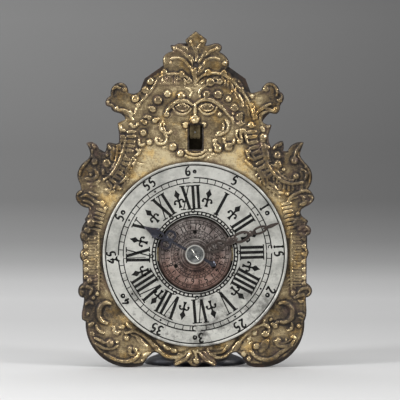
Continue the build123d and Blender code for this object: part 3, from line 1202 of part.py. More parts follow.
def click(at):
    """Pawl beside the ratchet wheel, on its stud."""
    nose = click_nose(at)
    pivot = click_pivot(at)
    away = heading(nose, pivot)
    sides = [polar(pivot, CLICK_WIDTH / 2, away + turn) for turn in (90, -90)]
    arm = make_face(Polyline(nose, polar(nose, CLICK_NOSE, CLICK_SIDE), *sides, close=True))
    boss = Circle(0.85 * CLICK_WIDTH)
    shape = arm + Pos(*pivot) * boss - Pos(*pivot) * Circle(CLICK_STUD_R + SLIDE_FIT)
    return slab(shape, BACK_D1 + RATCHET_GAP, BACK_D1 + RATCHET_GAP + RATCHET_SHEET)


# ---------------------------------------------------------------- alarm work
def alarm_crown_arbor():
    phase = gap_phase(ALARM_LEAVES, ALARM_ANGLE + 180)
    leaf_front = FRONT_D1 + ALARM_WHEEL_D - ALARM_LEAF_LEAD
    front_end = FRONT_D0 - ALARM_CROWN_WEB_D - CROWN_WEB - ALARM_ARBOR_OVER
    return train_arbor(ALARM_CROWN, ALARM_LEAVES, ALARM_MODULE, phase, leaf_front, front_end)


def alarm_crown_wheel():
    """Crown wheel with its teeth to the front, overhung in front of the movement plate."""
    rim = CROWN_WEB + ALARM_RIM
    crown = crown_of_teeth(ALARM_CROWN_TEETH, ALARM_CROWN_R, CROWN_BAND, rim, ALARM_TOOTH, 0, saw=True)
    web = Circle(ALARM_CROWN_R) - Circle(TRAIN_ARBOR_R + SEAT_FIT)
    wheel = crown + extrude(web, amount=CROWN_WEB)
    return front_plane(FRONT_D0 - ALARM_CROWN_WEB_D, *ALARM_CROWN) * wheel


def alarm_verge_cocks():
    cocks = []
    x = ALARM_CROWN[0]
    front = ALARM_AXIS_D - ALARM_COCK_NOSE
    for z in ALARM_COCKS_Z:
        low = z - ALARM_COCK_HEIGHT / 2
        high = z + ALARM_COCK_HEIGHT / 2
        cock = bar(x - ALARM_COCK_HALF, x + ALARM_COCK_HALF, front, FRONT_D0, low, high)
        cocks.append(cock - post(VERGE_R + SLIDE_FIT, low, high, x, ALARM_AXIS_D))
    return cocks


def alarm_verge():
    """Upright verge in front of the alarm crown wheel; its foot carries the hammer."""
    x = ALARM_CROWN[0]
    y = ALARM_AXIS_D - MID_DEPTH
    foot = HAMMER_HEAD_LOW + (HAMMER_HEAD_HEIGHT - HAMMER_BOSS) / 2
    shaft = post(VERGE_R, foot, ALARM_VERGE_TOP, x, ALARM_AXIS_D)
    tips = FRONT_D0 - ALARM_CROWN_WEB_D - CROWN_WEB - ALARM_RIM - ALARM_TOOTH
    reach = tips - ALARM_AXIS_D - PALLET_CLEAR
    pallets = []
    for side in (-1, 1):
        z = ALARM_CROWN[1] + side * (ALARM_CROWN_R - CROWN_BAND / 2)
        flag = Pos(reach / 2, 0) * Rectangle(reach, PALLET_SHEET)
        flag = Pos(x, y) * Rot(0, 0, 90 + side * PALLET_SPREAD) * flag
        pallets.append(extrude(Plane.XY.offset(z - PALLET_WIDTH / 2) * flag, amount=PALLET_WIDTH))
    collars = []
    for z in ALARM_COCKS_Z:
        low = z + ALARM_COCK_HEIGHT / 2 + END_SHAKE
        collars.append(post(2 * VERGE_R, low, low + VERGE_COLLAR, x, ALARM_AXIS_D))
    return shaft + pallets + collars


def hammer_turn():
    """Direction of the resting hammer, seen from above, in degrees from +X."""
    x = ALARM_CROWN[0]
    across = hypot(x - CENTRE_X, BELL_AXIS_D - ALARM_AXIS_D)
    to_bell = degrees(atan2(BELL_AXIS_D - ALARM_AXIS_D, CENTRE_X - x))
    rest = BELL_WAIST_R + HAMMER_HEAD_R + HAMMER_GAP
    cosine = (across ** 2 + HAMMER_LENGTH ** 2 - rest ** 2) / (2 * across * HAMMER_LENGTH)
    return to_bell - degrees(acos(cosine))


def alarm_hammer():
    x = ALARM_CROWN[0]
    turn = hammer_turn()
    middle = HAMMER_HEAD_LOW + HAMMER_HEAD_HEIGHT / 2
    place = Pos(x, ALARM_AXIS_D - MID_DEPTH) * Rot(0, 0, turn)
    boss = Circle(2.6 * VERGE_R) - Circle(VERGE_R + SEAT_FIT)
    wire = Pos(HAMMER_LENGTH / 2 + VERGE_R, 0) * Rectangle(HAMMER_LENGTH - 2.6 * VERGE_R, HAMMER_WIRE)
    head = Pos(HAMMER_LENGTH, 0) * Circle(HAMMER_HEAD_R)
    arm = extrude(Plane.XY.offset(middle - HAMMER_WIRE / 2) * place * wire, amount=HAMMER_WIRE)
    hub = extrude(Plane.XY.offset(middle - HAMMER_BOSS / 2) * place * boss, amount=HAMMER_BOSS)
    weight = extrude(Plane.XY.offset(HAMMER_HEAD_LOW) * place * head, amount=HAMMER_HEAD_HEIGHT)
    return arm + hub + chamfer(weight.edges(), HAMMER_CHAMFER)


def alarm_detent():
    """Lever between the cam on the alarm disc's pipe and the top of the alarm verge."""
    nose = polar(DIAL, CAM_R + DETENT_CLEAR, DETENT_NOSE_ANGLE)
    tip = (ALARM_CROWN[0] - DETENT_TIP[0], ALARM_VERGE_TOP + DETENT_TIP[1])
    x, z = DETENT_PIVOT
    half = DETENT_WIDTH / 2
    heel = polar(nose, DETENT_WIDTH, DETENT_NOSE_ANGLE)
    left = make_face(Polyline(nose, heel, (x, z + half), (x, z - half), close=True))
    end = [(tip[0] + DETENT_END, tip[1]), (tip[0] - DETENT_END, tip[1])]
    right = make_face(Polyline((x - half, z), (x + half, z), *end, close=True))
    shape = left + right + Pos(x, z) * Circle(0.95 * DETENT_WIDTH)
    shape = shape - Pos(x, z) * Circle(STUD_R + SLIDE_FIT)
    front = FRONT_D0 - CAM_D + DETENT_GAP
    return slab(shape, front, front + DETENT_SHEET)


# ---------------------------------------------------------------- bell
def bell_line(rim_r, waist_r, crown, flare):
    """One side of the bell's wall, from the mouth up to the flat round the stud."""
    line = [(rim_r, 0.0)]
    line += [(waist_r + r * (rim_r - waist_r), z * BELL_WAIST_Z) for r, z in flare]
    line += [(waist_r, BELL_WAIST_Z)]
    line += [(waist_r * r, BELL_WAIST_Z + z * (crown - BELL_WAIST_Z)) for r, z in BELL_SHOULDER]
    return line + [(BELL_NUT_R + BELL_SEAT, crown)]


def bell():
    """Flared bell, mouth down, turned from a smooth profile."""
    crown = BELL_HEIGHT
    outer = bell_line(BELL_R, BELL_WAIST_R, crown, BELL_FLARE)
    inner = bell_line(BELL_R - BELL_LIP, BELL_WAIST_R - BELL_WALL, crown - BELL_WALL, BELL_FLARE_INSIDE)
    bore = BELL_STUD_R + SEAT_FIT
    place = Plane(origin=(CENTRE_X, BELL_AXIS_D - MID_DEPTH, 0), x_dir=(1, 0, 0), z_dir=(0, -1, 0))
    section = make_face([
        Spline(*outer), Line(outer[-1], (bore, crown)), Line((bore, crown), (bore, crown - BELL_WALL)),
        Line((bore, crown - BELL_WALL), inner[-1]), Spline(*reversed(inner)), Line(inner[0], outer[0])])
    return revolve(place * section, Axis((CENTRE_X, BELL_AXIS_D - MID_DEPTH, 0), (0, 0, 1)))


def bell_bar():
    top = FRAME_LOW + BELL_BAR_HEIGHT
    left = CENTRE_X - BELL_BAR_HALF
    right = CENTRE_X + BELL_BAR_HALF
    block = bar(left, right, FRONT_D1, BACK_D0, FRAME_LOW, top)
    return block - post(BELL_STUD_R + SEAT_FIT, FRAME_LOW, top, CENTRE_X, BELL_AXIS_D)


def bell_stud():
    """Stud through the bell's crown and the bar, with the collar that spaces them."""
    top = FRAME_LOW + BELL_BAR_HEIGHT + BELL_NUT + BELL_STUD_OVER
    low = BELL_HEIGHT - BELL_WALL - BELL_HEAD
    head = post(BELL_NUT_R, low, BELL_HEIGHT - BELL_WALL, CENTRE_X, BELL_AXIS_D)
    collar = post(BELL_NUT_R, BELL_HEIGHT, FRAME_LOW, CENTRE_X, BELL_AXIS_D)
    return head + collar + post(BELL_STUD_R, low, top, CENTRE_X, BELL_AXIS_D)


def bell_nut():
    low = FRAME_LOW + BELL_BAR_HEIGHT
    face = RegularPolygon(BELL_NUT_R, 6) - Circle(BELL_STUD_R + SEAT_FIT)
    place = Plane.XY.offset(low) * Pos(CENTRE_X, BELL_AXIS_D - MID_DEPTH)
    return extrude(place * face, amount=BELL_NUT)


# ---------------------------------------------------------------- the nodes
GOING = (GREAT_WHEEL_D, GREAT_WHEEL_SHEET, DRUM_R, DRUM_LENGTH)
ALARM = (ALARM_WHEEL_D, ALARM_WHEEL_SHEET, ALARM_DRUM_R, ALARM_DRUM_LENGTH)

NODES = {
    "front_plate": front_plate,
    "backing_plate": backing_plate,
    "crest_rivet": crest_rivet,
    "chapter_ring": chapter_ring,
    "chapter_ring_rivets": chapter_ring_rivets,
    "alarm_disc": alarm_disc,
    "alarm_cam": alarm_cam,
    "minute_hand": minute_hand,
    "hour_hand": hour_hand,
    "hand_collet": hand_collet,
    "hand_pin": hand_pin,
    "centre_arbor": centre_arbor,
    "centre_wheel": centre_wheel,
    "cannon_pinion": cannon_pinion,
    "minute_wheel": minute_wheel,
    "hour_wheel": hour_wheel,
    "movement_front_plate": movement_front_plate,
    "movement_back_plate": movement_back_plate,
    "movement_pillars": movement_pillars,
    "pillar_pins": pillar_pins,
    "dial_feet": dial_feet,
    "plate_studs": plate_studs,
    "third_arbor": third_arbor,
    "third_wheel": third_wheel,
    "contrate_arbor": contrate_arbor,
    "contrate_wheel": contrate_wheel,
    "crown_arbor": crown_arbor,
    "crown_wheel": crown_wheel,
    "bottom_potence": bottom_potence,
    "top_potence": top_potence,
    "verge": verge,
    "verge_front_cock": verge_front_cock,
    "back_cock": back_cock,
    "pendulum_rod": pendulum_rod,
    "pendulum_bob": pendulum_bob,
    "going_barrel": lambda: barrel(BARREL, GREAT_TEETH, GREAT_MODULE, heading(BARREL, DIAL), *GOING),
    "going_barrel_cap": lambda: barrel_cap(BARREL, *GOING),
    "going_mainspring": lambda: mainspring(BARREL, *GOING),
    "going_barrel_arbor": lambda: barrel_arbor(BARREL),
    "going_ratchet_wheel": lambda: ratchet_wheel(BARREL),
    "going_click": lambda: click(BARREL),
    "alarm_barrel": lambda: barrel(ALARM_BARREL, ALARM_TEETH, ALARM_MODULE, ALARM_ANGLE, *ALARM),
    "alarm_barrel_cap": lambda: barrel_cap(ALARM_BARREL, *ALARM),
    "alarm_mainspring": lambda: mainspring(ALARM_BARREL, *ALARM),
    "alarm_barrel_arbor": lambda: barrel_arbor(ALARM_BARREL),
    "alarm_ratchet_wheel": lambda: ratchet_wheel(ALARM_BARREL),
    "alarm_click": lambda: click(ALARM_BARREL),
    "alarm_crown_arbor": alarm_crown_arbor,
    "alarm_crown_wheel": alarm_crown_wheel,
    "alarm_verge_cocks": alarm_verge_cocks,
    "alarm_verge": alarm_verge,
    "alarm_hammer": alarm_hammer,
    "alarm_detent": alarm_detent,
    "bell": bell,
    "bell_bar": bell_bar,
    "bell_stud": bell_stud,
    "bell_nut": bell_nut,
}


def main():
    os.makedirs("parts", exist_ok=True)
    for name, make in NODES.items():
        shape = make()
        if isinstance(shape, list):
            shape = Compound(children=shape)
        export_step(shape, f"parts/{name}.step")
        print(f"{name:24s} volume {shape.volume:10.1f} mm3")


if __name__ == "__main__":
    main()
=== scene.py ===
import math
import random

import bmesh
import bpy
import numpy as np
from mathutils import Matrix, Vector


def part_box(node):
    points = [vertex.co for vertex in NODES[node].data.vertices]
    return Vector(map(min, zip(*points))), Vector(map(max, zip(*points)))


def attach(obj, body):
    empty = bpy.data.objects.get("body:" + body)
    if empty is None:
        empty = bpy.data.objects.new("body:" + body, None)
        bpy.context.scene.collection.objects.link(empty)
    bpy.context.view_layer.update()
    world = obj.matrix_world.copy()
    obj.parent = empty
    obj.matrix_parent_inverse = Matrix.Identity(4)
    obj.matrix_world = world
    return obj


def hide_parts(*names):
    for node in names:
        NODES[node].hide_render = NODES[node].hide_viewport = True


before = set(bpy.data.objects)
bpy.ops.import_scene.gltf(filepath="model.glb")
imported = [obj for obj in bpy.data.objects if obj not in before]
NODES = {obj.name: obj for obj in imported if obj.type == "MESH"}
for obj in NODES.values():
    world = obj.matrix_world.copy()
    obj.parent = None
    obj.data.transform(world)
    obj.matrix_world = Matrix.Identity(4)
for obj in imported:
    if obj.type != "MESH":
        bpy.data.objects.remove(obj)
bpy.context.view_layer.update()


MM = 0.001

# ------------------------------------------------------------------ places, in millimetres
DIAL_X = 0.0
DIAL_Z = 102.0
BACK_OF_SHEET = -42.25      # the gilt sheet's back, on the iron plate
SHEET_FACE = -43.25
RING_FACE = -48.45
DISC_FACE = -47.55
RING_R = 83.0
COLLET_R = 8.6
RING_BORE = 34.6
RELIEF_TOP = 3.5            # highest chased work over the sheet's face
CELL = 0.55                 # spacing of the chased sheet's points
SPREAD = 1.5                # a stroke is this much wider than its drawn width
WIDE_SPREAD = 1.95          # and so are the fleshier scrolls and leaves
SKIRT = 1.5                 # a stroke's soft foot is this much wider still
GROOVE = 0.4                # depth of the line punched round a stroke
RIM_HEIGHT = 0.55           # the rolled rim of the sheet
GADROON = 0.38              # half width of a gadroon, as a share of their spacing
HAMMERED = 0.10             # how unevenly the relief is raised
FRILL_STEP = 3.4            # between the leaflets along a scroll
MATTING = 0.07              # height of the punched ground among the ornament
HIDDEN_R = 80.0             # inside this the ring covers the sheet, which is flat
FLAT_R = 84.0               # the relief starts to rise here
RISE_R = 88.0               # and has its full height from here on

# wear of the gilding, from bright at 0 to bare at 1, with painted shade added along the sheet's edge, beside and under
# the ring and round the mouth slot
FLAT_TONE = 0.21            # on the open ground
SUNK_DARK = 0.55            # what each millimetre under the surroundings adds
RAISED_LIGHT = 0.26         # and what each one over them takes away
BUSY_DARK = 0.40            # among the ornament
BUSY_FROM = 0.12            # mean height at which the ornament starts to count
BUSY_SPAN = 0.7
EDGE_PAINTED_SHADE = 0.35            # painted shade along the sheet's turned edge
RING_PAINTED_SHADOW = 0.5             # painted shadow of the raised ring, on the sheet beside it
OUTER_DARK = 0.20           # towards the two sides
OUTER_FROM = 42.0
OUTER_SPAN = 50.0
CHEEKS = (0.0, 213.0, 25.0, 20.0)   # the mask's smooth oval: its middle, then its half width and half height
# how much lighter the smooth cheeks are made: cleaner gilding and a painted sheen
CHEEK_POLISH_AND_PAINTED_SHEEN = 0.17
DIAL_TURN = -2.5            # the engraving sits turned back by this angle

# chased work, in millimetres: each stroke is its points, its half width and its height
CREST = [
    ([(0.3, 255), (0, 262), (0.2, 269)], 1.5, 1.6),
    ([(1, 275), (1.4, 281), (0.6, 288)], 0.9, 1),
    ([(-3.5, 292), (-1.2, 287.5), (0.6, 283)], 0.8, 1),
    ([(4, 291), (2.4, 286)], 0.7, 0.8),
    ([(3, 274), (5, 277.5), (7, 281), (9.6, 284)], 0.9, 1.5),
    ([(9.4, 280.5), (13, 284), (17, 286), (19, 286.6)], 0.8, 1.2),
    ([(7.5, 272.5), (9.5, 276), (13, 278.2), (17, 278.7), (21.5, 277.3)], 0.9, 1.4),
    ([(1.6, 263), (3.6, 267), (5.4, 272)], 0.7, 1.1),
    ([(2.6, 262), (6, 267.5), (8, 269)], 0.5, 0.8),
    ([(-7, 286), (-9.5, 287.6), (-12, 288.6)], 0.5, 0.9),
    ([(-17, 287), (-13, 285), (-9, 282), (-6, 279), (-3.6, 275.5), (-2, 272)], 0.8, 1.3),
    ([(-4.6, 281), (-2.6, 278), (-0.6, 275)], 0.7, 1.3),
    ([(-21.5, 278), (-16, 278.7), (-12, 278), (-8.5, 275.5), (-5.5, 272), (-3, 268), (-1.5, 263),
      (-0.6, 257)], 0.9, 1.6),
    ([(-2.8, 270), (-2, 266)], 0.6, 0.9),
]
ARCH = [
    ([(1, 257), (4, 260.5), (8, 263.2), (14, 264.8), (20, 264.8), (26, 263.3), (31, 260.5), (35, 257), (39, 252.5),
      (43, 248), (46, 243.5), (49, 238), (51, 232), (52, 227)], 1.1, 2.1),
    ([(-3, 257.5), (-6, 260.5), (-10, 263), (-15, 264), (-21, 264.2), (-27, 263.8), (-31, 262)], 1.1, 2),
    ([(-31, 262), (-34, 259), (-36.5, 254), (-40, 249), (-44, 244), (-48, 240), (-52, 234), (-54, 228)], 0.9, 1.1),
    ([(24, 262), (26.4, 258), (27, 254)], 0.6, 1),
    ([(28.4, 261.5), (30.2, 257), (29.3, 253)], 0.6, 1),
    ([(31.5, 258), (33.6, 253), (34, 249), (32, 246.5)], 0.7, 1),
    ([(37, 252), (36, 247), (37.3, 242)], 0.6, 1),
    ([(35, 249), (38.5, 246), (42, 240), (43, 234)], 0.6, 0.8),
    ([(-31, 255.5), (-24, 255.9), (-14, 255.6)], 0.6, 0.9),
    ([(-12, 262), (-9, 258.5), (-9, 255)], 0.7, 1),
    ([(-14.6, 260.2), (-12.5, 260)], 0.7, 1.2),
    ([(4.2, 243), (3.6, 247), (6.5, 252), (11, 254.6)], 0.7, 1),
    ([(-4.5, 243), (-3.2, 247), (-5.5, 250.5), (-9, 252)], 0.7, 1),
    ([(-7, 250.6), (-2, 252), (2.4, 250)], 0.5, 0.5),
    ([(-4, 247.5), (0.5, 249), (4, 246.8)], 0.5, 0.4),
    ([(-5.6, 254), (-0.4, 255.4), (4.4, 253.4)], 0.5, 0.5),
    ([(-1.4, 253.5), (-3.4, 256)], 0.5, 0.5),
    ([(14, 259.5), (17, 260.3), (20, 259.3)], 0.6, 0.8),
    ([(13, 255.2), (18, 256.2), (23, 255)], 0.6, 0.8),
]
MASK_EYE = [                # the one at the left: lid, pupil line, brow line and lashes
    ([(-19.8, 234), (-18, 230.8), (-14.6, 228.6), (-10.8, 228), (-7, 229.2), (-3.4, 233)], 0.9, 1.9),
    ([(-16.8, 233.6), (-14.4, 231.4), (-11, 230.6), (-7.8, 231.4), (-5.4, 233.8)], 0.5, 1.5),
    ([(-17, 234.4), (-14, 236.6), (-10.8, 237.2), (-7.6, 236.4), (-5, 234.4)], 0.5, 1.6),
    ([(-12.9, 234.2), (-15.4, 237.6)], 0.35, 1.9),
    ([(-11.7, 234.2), (-12.6, 238)], 0.35, 1.9),
    ([(-10.3, 234.2), (-9.6, 238)], 0.35, 1.9),
    ([(-9, 234.2), (-6.6, 237)], 0.35, 1.9),
]
FACE = [
    ([(1.5, 238), (5, 240.2), (10, 241.2), (15, 240.5), (19, 238.5), (23, 235.5), (27, 231.5),
      (29.5, 228)], 1.5, 2.6),
    ([(-2.4, 236.5), (-6, 239), (-11, 240.2), (-16, 239.2), (-20, 236.8), (-24, 232.8), (-26, 229)], 1.5, 2.6),
    ([(28, 222.5), (29.5, 219), (29.7, 215.5), (28, 212.5), (25, 210.4), (22, 209.3), (19.4, 209.4)], 1.1, 2.3),
    ([(25.5, 219.5), (26, 216), (24.8, 213), (22.5, 211.6)], 0.7, 1.4),
    ([(-29, 221.5), (-31, 218.5), (-31, 215.5), (-29, 212.8), (-26, 211), (-23.5, 211), (-21, 212.4)], 1.1, 2.3),
    ([(-27.8, 219.7), (-28.4, 216), (-26.8, 213.4)], 0.7, 1.4),
    ([(-8.4, 195), (-5, 192.4), (0.4, 191.6), (5.4, 192.4), (8.8, 195.2)], 1, 1.6),
    ([(-8.4, 190.7), (-5, 188.7), (0.4, 187.8), (5.6, 188.8), (9.2, 191.6)], 1.2, 2),
    ([(-5.8, 196), (0.4, 194.8), (6.4, 195.6)], 0.7, 1),
    ([(-34.5, 206.5), (-34.8, 203.5), (-32, 201.3), (-28.5, 201.5), (-26, 204), (-25.5, 207.4),
      (-27.6, 210)], 1, 1.9),
    ([(-32, 206), (-31, 204), (-29.6, 204.4)], 0.8, 1.4),
    ([(26, 206.2), (26.3, 203), (28.2, 200.8)], 1, 1.8),
    ([(35.4, 205.3), (34.8, 202.5), (32.4, 200.8)], 1.1, 2),
    ([(16, 192), (19, 191.6)], 0.7, 1.2),
    ([(11.5, 188), (13.5, 190)], 0.6, 1),
    ([(0.2, 237.5), (0.1, 232), (0, 226.5)], 1.3, 2),
]
FACE += MASK_EYE + [([(-x, z) for x, z in points], half, high) for points, half, high in MASK_EYE]
MANE = [                    # the leaves round the face, outside the whiskers
    ([(32.8, 233.4), (35.5, 232.2), (38.2, 233)], 1.4, 2),
    ([(43, 258.6), (44.6, 256.6), (45.4, 254.4)], 0.6, 1.4),
    ([(49.6, 235), (51, 231), (52.2, 227), (53, 223.5)], 0.9, 1.6),
    ([(52.8, 235), (53.3, 230), (54.6, 226)], 0.8, 1.5),
    ([(46, 240), (47.6, 234), (48.6, 227)], 0.7, 1),
    ([(38.6, 219.6), (41, 218.8), (43.4, 219.4)], 1.1, 1.6),
    ([(47.8, 217.6), (50.6, 216.8), (53.6, 217.5)], 1, 1.6),
    ([(30.5, 227), (33.5, 224), (34.5, 220)], 1, 1.5),
    ([(41.2, 214), (41.2, 209), (42.6, 204), (40.2, 202.2)], 1.1, 2.1),
    ([(45.2, 213.6), (45.5, 209), (46.5, 204.5), (47.8, 202)], 1.1, 2.2),
    ([(38.2, 214), (37.6, 208.6), (38.6, 205.4)], 0.8, 1.4),
    ([(46.4, 193), (48.6, 190), (50.6, 188), (52.8, 186.4)], 0.9, 1.6),
    ([(50.4, 193.6), (52.4, 190), (54.6, 187.6)], 0.8, 1.3),
    ([(45.8, 186.4), (50, 182), (54.6, 178)], 0.9, 1.3),
    ([(55, 179.6), (56.4, 177.4), (59, 177)], 0.9, 1.6),
    ([(-46, 249), (-44, 248.4), (-42, 249.2)], 1.1, 1.6),
    ([(-56.2, 241.7), (-53.6, 240.8), (-50.8, 242)], 1.1, 1.6),
    ([(-45.6, 225), (-42.8, 226.4)], 1, 2),
    ([(-57.2, 217.8), (-54.6, 216.8), (-51.9, 217.8)], 1.1, 1.7),
    ([(-50.4, 205), (-50.2, 201.6), (-48, 200), (-45.4, 201)], 1.1, 2.2),
    ([(-52.6, 196.6), (-50.6, 193.4), (-53.4, 190.6)], 1.1, 1.8),
    ([(-49.6, 196.4), (-49.4, 194)], 0.8, 1.4),
    ([(-55.6, 189), (-54, 185.8), (-56, 182.6)], 0.9, 1.5),
    ([(-52, 184.4), (-49, 182.6), (-46, 183)], 0.8, 0.9),
    ([(-66, 231.6), (-62, 228.6), (-58, 226), (-55.6, 222.5)], 0.7, 1.1),
]
EARS = [
    ([(60.6, 250), (63, 254.4), (68, 255.8), (73, 253.2), (75, 248)], 1.1, 0.9),
    ([(71.8, 253), (73.5, 250.5), (74, 247), (73.3, 245)], 0.8, 1.8),
    ([(74.6, 240.6), (76.8, 240)], 0.8, 1.4),
    ([(54.5, 227.5), (57, 230.5), (60.5, 233), (64, 235.5), (68, 237)], 0.9, 1.8),
    ([(62.6, 234), (66, 232.4), (70, 231), (72.4, 231.6)], 1, 1.5),
    ([(58, 227), (62, 229.4), (68, 230.6)], 0.8, 0.9),
    ([(76.6, 247), (78.6, 243.5), (78, 239.5)], 0.9, 1),
    ([(-74.9, 245.4), (-75, 249), (-73, 251.6), (-70, 252.4), (-67.8, 251.4)], 0.9, 2.1),
    ([(-60.6, 249.5), (-62.4, 253.6), (-67, 255.4)], 1.1, 0.8),
    ([(-69.6, 232.2), (-64, 231.6), (-60, 229.6), (-57, 226.6)], 0.8, 1.6),
    ([(-58.6, 231), (-55.8, 228)], 0.7, 1.9),
    ([(-78.4, 237), (-75, 235.6), (-72, 233)], 0.9, 0.9),
]
BANDS = [                   # the long scrolls beside the ring
    ([(60, 201.5), (61.5, 195), (63.5, 188), (66, 182), (69.5, 176.5), (74, 171.5), (79, 167.6), (85, 165.7),
      (91, 165.5), (97, 166.6)], 1.1, 2.2),
    ([(56.4, 178), (59, 173.5), (61.5, 169), (62.6, 164.6)], 1.1, 1.8),
    ([(60.4, 176), (63, 171), (65, 166), (65.4, 162)], 0.9, 1.4),
    ([(71, 180), (73.4, 176.5), (77, 172.6), (81.5, 169.5)], 0.9, 1.2),
    ([(66, 162.6), (70, 159.5), (74, 157.4), (79, 157)], 1, 1.4),
    ([(67, 165.5), (71, 163.5), (74, 159.8)], 0.8, 1.2),
    ([(-62.8, 206.6), (-63.6, 200), (-65.4, 193), (-67.6, 187), (-70, 182), (-73, 177), (-77, 172.4),
      (-82, 169)], 1.1, 2.3),
    ([(-70, 200), (-70.4, 190), (-72.6, 182.6), (-76, 177.6)], 0.8, 1.3),
    ([(-57, 187), (-58.6, 182), (-61.6, 177), (-61.4, 172), (-64.4, 168.4), (-68, 165.4)], 0.9, 1.5),
    ([(-73, 161.4), (-70.4, 163.2), (-67, 160.4)], 1.1, 2),
    ([(-80, 160), (-76, 158.6), (-72.6, 159)], 0.9, 1.2),
    ([(-86, 168), (-90, 165.4), (-96, 165)], 0.9, 1.1),
    ([(86.6, 120.5), (86.3, 95), (86.8, 70)], 0.8, 1.3),
    ([(-86.6, 120.5), (-86.3, 95), (-86.8, 70)], 0.8, 1.3),
]
LEAVES = [
    ([(60.5, 216), (62, 212.8)], 1.1, 1.8),
    ([(65, 216), (67.6, 218.4)], 0.9, 1.9),
    ([(62.4, 200), (63, 194), (65.4, 188)], 1.9, 1.9),
    ([(70.8, 196.8), (72.4, 199), (74, 200.4)], 0.9, 1.7),
    ([(75.6, 199.6), (78, 202.2)], 0.9, 1.9),
    ([(72, 190.2), (74.4, 189.2), (77, 190)], 1.2, 1.6),
    ([(72, 182.2), (74.5, 181.2), (77.2, 182.2)], 1.2, 1.7),
    ([(89.6, 190), (91.6, 195), (94.2, 199.4), (96.6, 201.6)], 0.8, 1.2),
    ([(93, 190), (97, 185.5), (100.5, 181), (103, 176.5), (104, 172), (103, 167)], 0.8, 1.4),
    ([(96, 178.4), (99, 176.6), (100.4, 172.4), (98.6, 169)], 0.8, 1.2),
    ([(84, 151.5), (87, 154), (91, 156.3), (95, 158.3), (99, 159), (103, 158)], 0.9, 1.8),
    ([(83.6, 149.4), (87.6, 152), (92.4, 153.4)], 0.7, 1.2),
    ([(94.8, 146.6), (98, 147.4), (99.8, 149.6)], 1, 1.7),
    ([(95.4, 154.6), (97.6, 153), (97.4, 150.6)], 0.9, 1.6),
    ([(102.8, 154.6), (105.4, 152), (104.4, 148.6)], 0.9, 1.1),
    ([(91, 131.6), (95, 132.9), (99.2, 133.2)], 1.9, 2),
    ([(90, 127.6), (94, 129), (98, 129.4)], 1, 1.2),
    ([(93.5, 124), (97, 126.6), (100.6, 125.6)], 1.1, 1.4),
    ([(98.8, 123.4), (101.6, 124.4), (103.4, 122), (102.4, 119.4), (99.8, 119.4)], 0.9, 1.7),
    ([(94.6, 120.6), (97, 119), (98.8, 116)], 0.9, 1.4),
    ([(99.6, 106), (101.6, 104), (99.8, 101.4), (102, 99.6)], 0.8, 1.3),
    ([(-67.8, 217.4), (-66, 214.4), (-63.4, 213)], 0.9, 1.5),
    ([(-67.8, 199.8), (-66.6, 196.6), (-64.6, 195)], 1.2, 1.7),
    ([(-78.4, 199.7), (-76, 197.2)], 1.1, 2),
    ([(-73.8, 197.6), (-74, 192.6), (-75, 188)], 1.3, 1.3),
    ([(-82.2, 183.4), (-79.5, 182.5), (-76.8, 183.4)], 1.2, 1.8),
    ([(-83, 178.2), (-82.8, 174.2)], 0.9, 1.9),
    ([(-91.6, 200.6), (-90.4, 197.6)], 0.9, 1.9),
    ([(-96.6, 200.6), (-94.4, 197.8)], 0.6, 1.2),
    ([(-92.4, 196), (-93, 191), (-90.6, 188.4)], 0.8, 0.9),
    ([(-94, 192), (-96, 187), (-99.5, 182.6), (-102.6, 178.4), (-103.8, 173.6)], 0.9, 1.7),
    ([(-90, 178), (-88, 173), (-92, 169.6), (-98, 170)], 0.9, 1.1),
    ([(-106, 156.6), (-103.4, 158)], 1.2, 1.9),
    ([(-105, 147.6), (-101.5, 146), (-97, 145.4), (-94, 142.8)], 0.9, 1.4),
    ([(-95, 157.6), (-91, 155.4), (-88, 155)], 0.8, 1.2),
    ([(-102, 153.6), (-98, 155), (-94, 153), (-90, 149.6), (-85, 148)], 0.9, 1.4),
    ([(-100, 150), (-96, 149), (-92, 146)], 0.8, 1.2),
    ([(-84.4, 148.4), (-82.6, 146.4)], 1.3, 1.7),
    ([(-96, 136.4), (-93.4, 134), (-95.4, 131.4)], 1, 1.3),
    ([(-101.6, 104.6), (-102.4, 101.6), (-100, 98.8)], 0.8, 1.3),
]
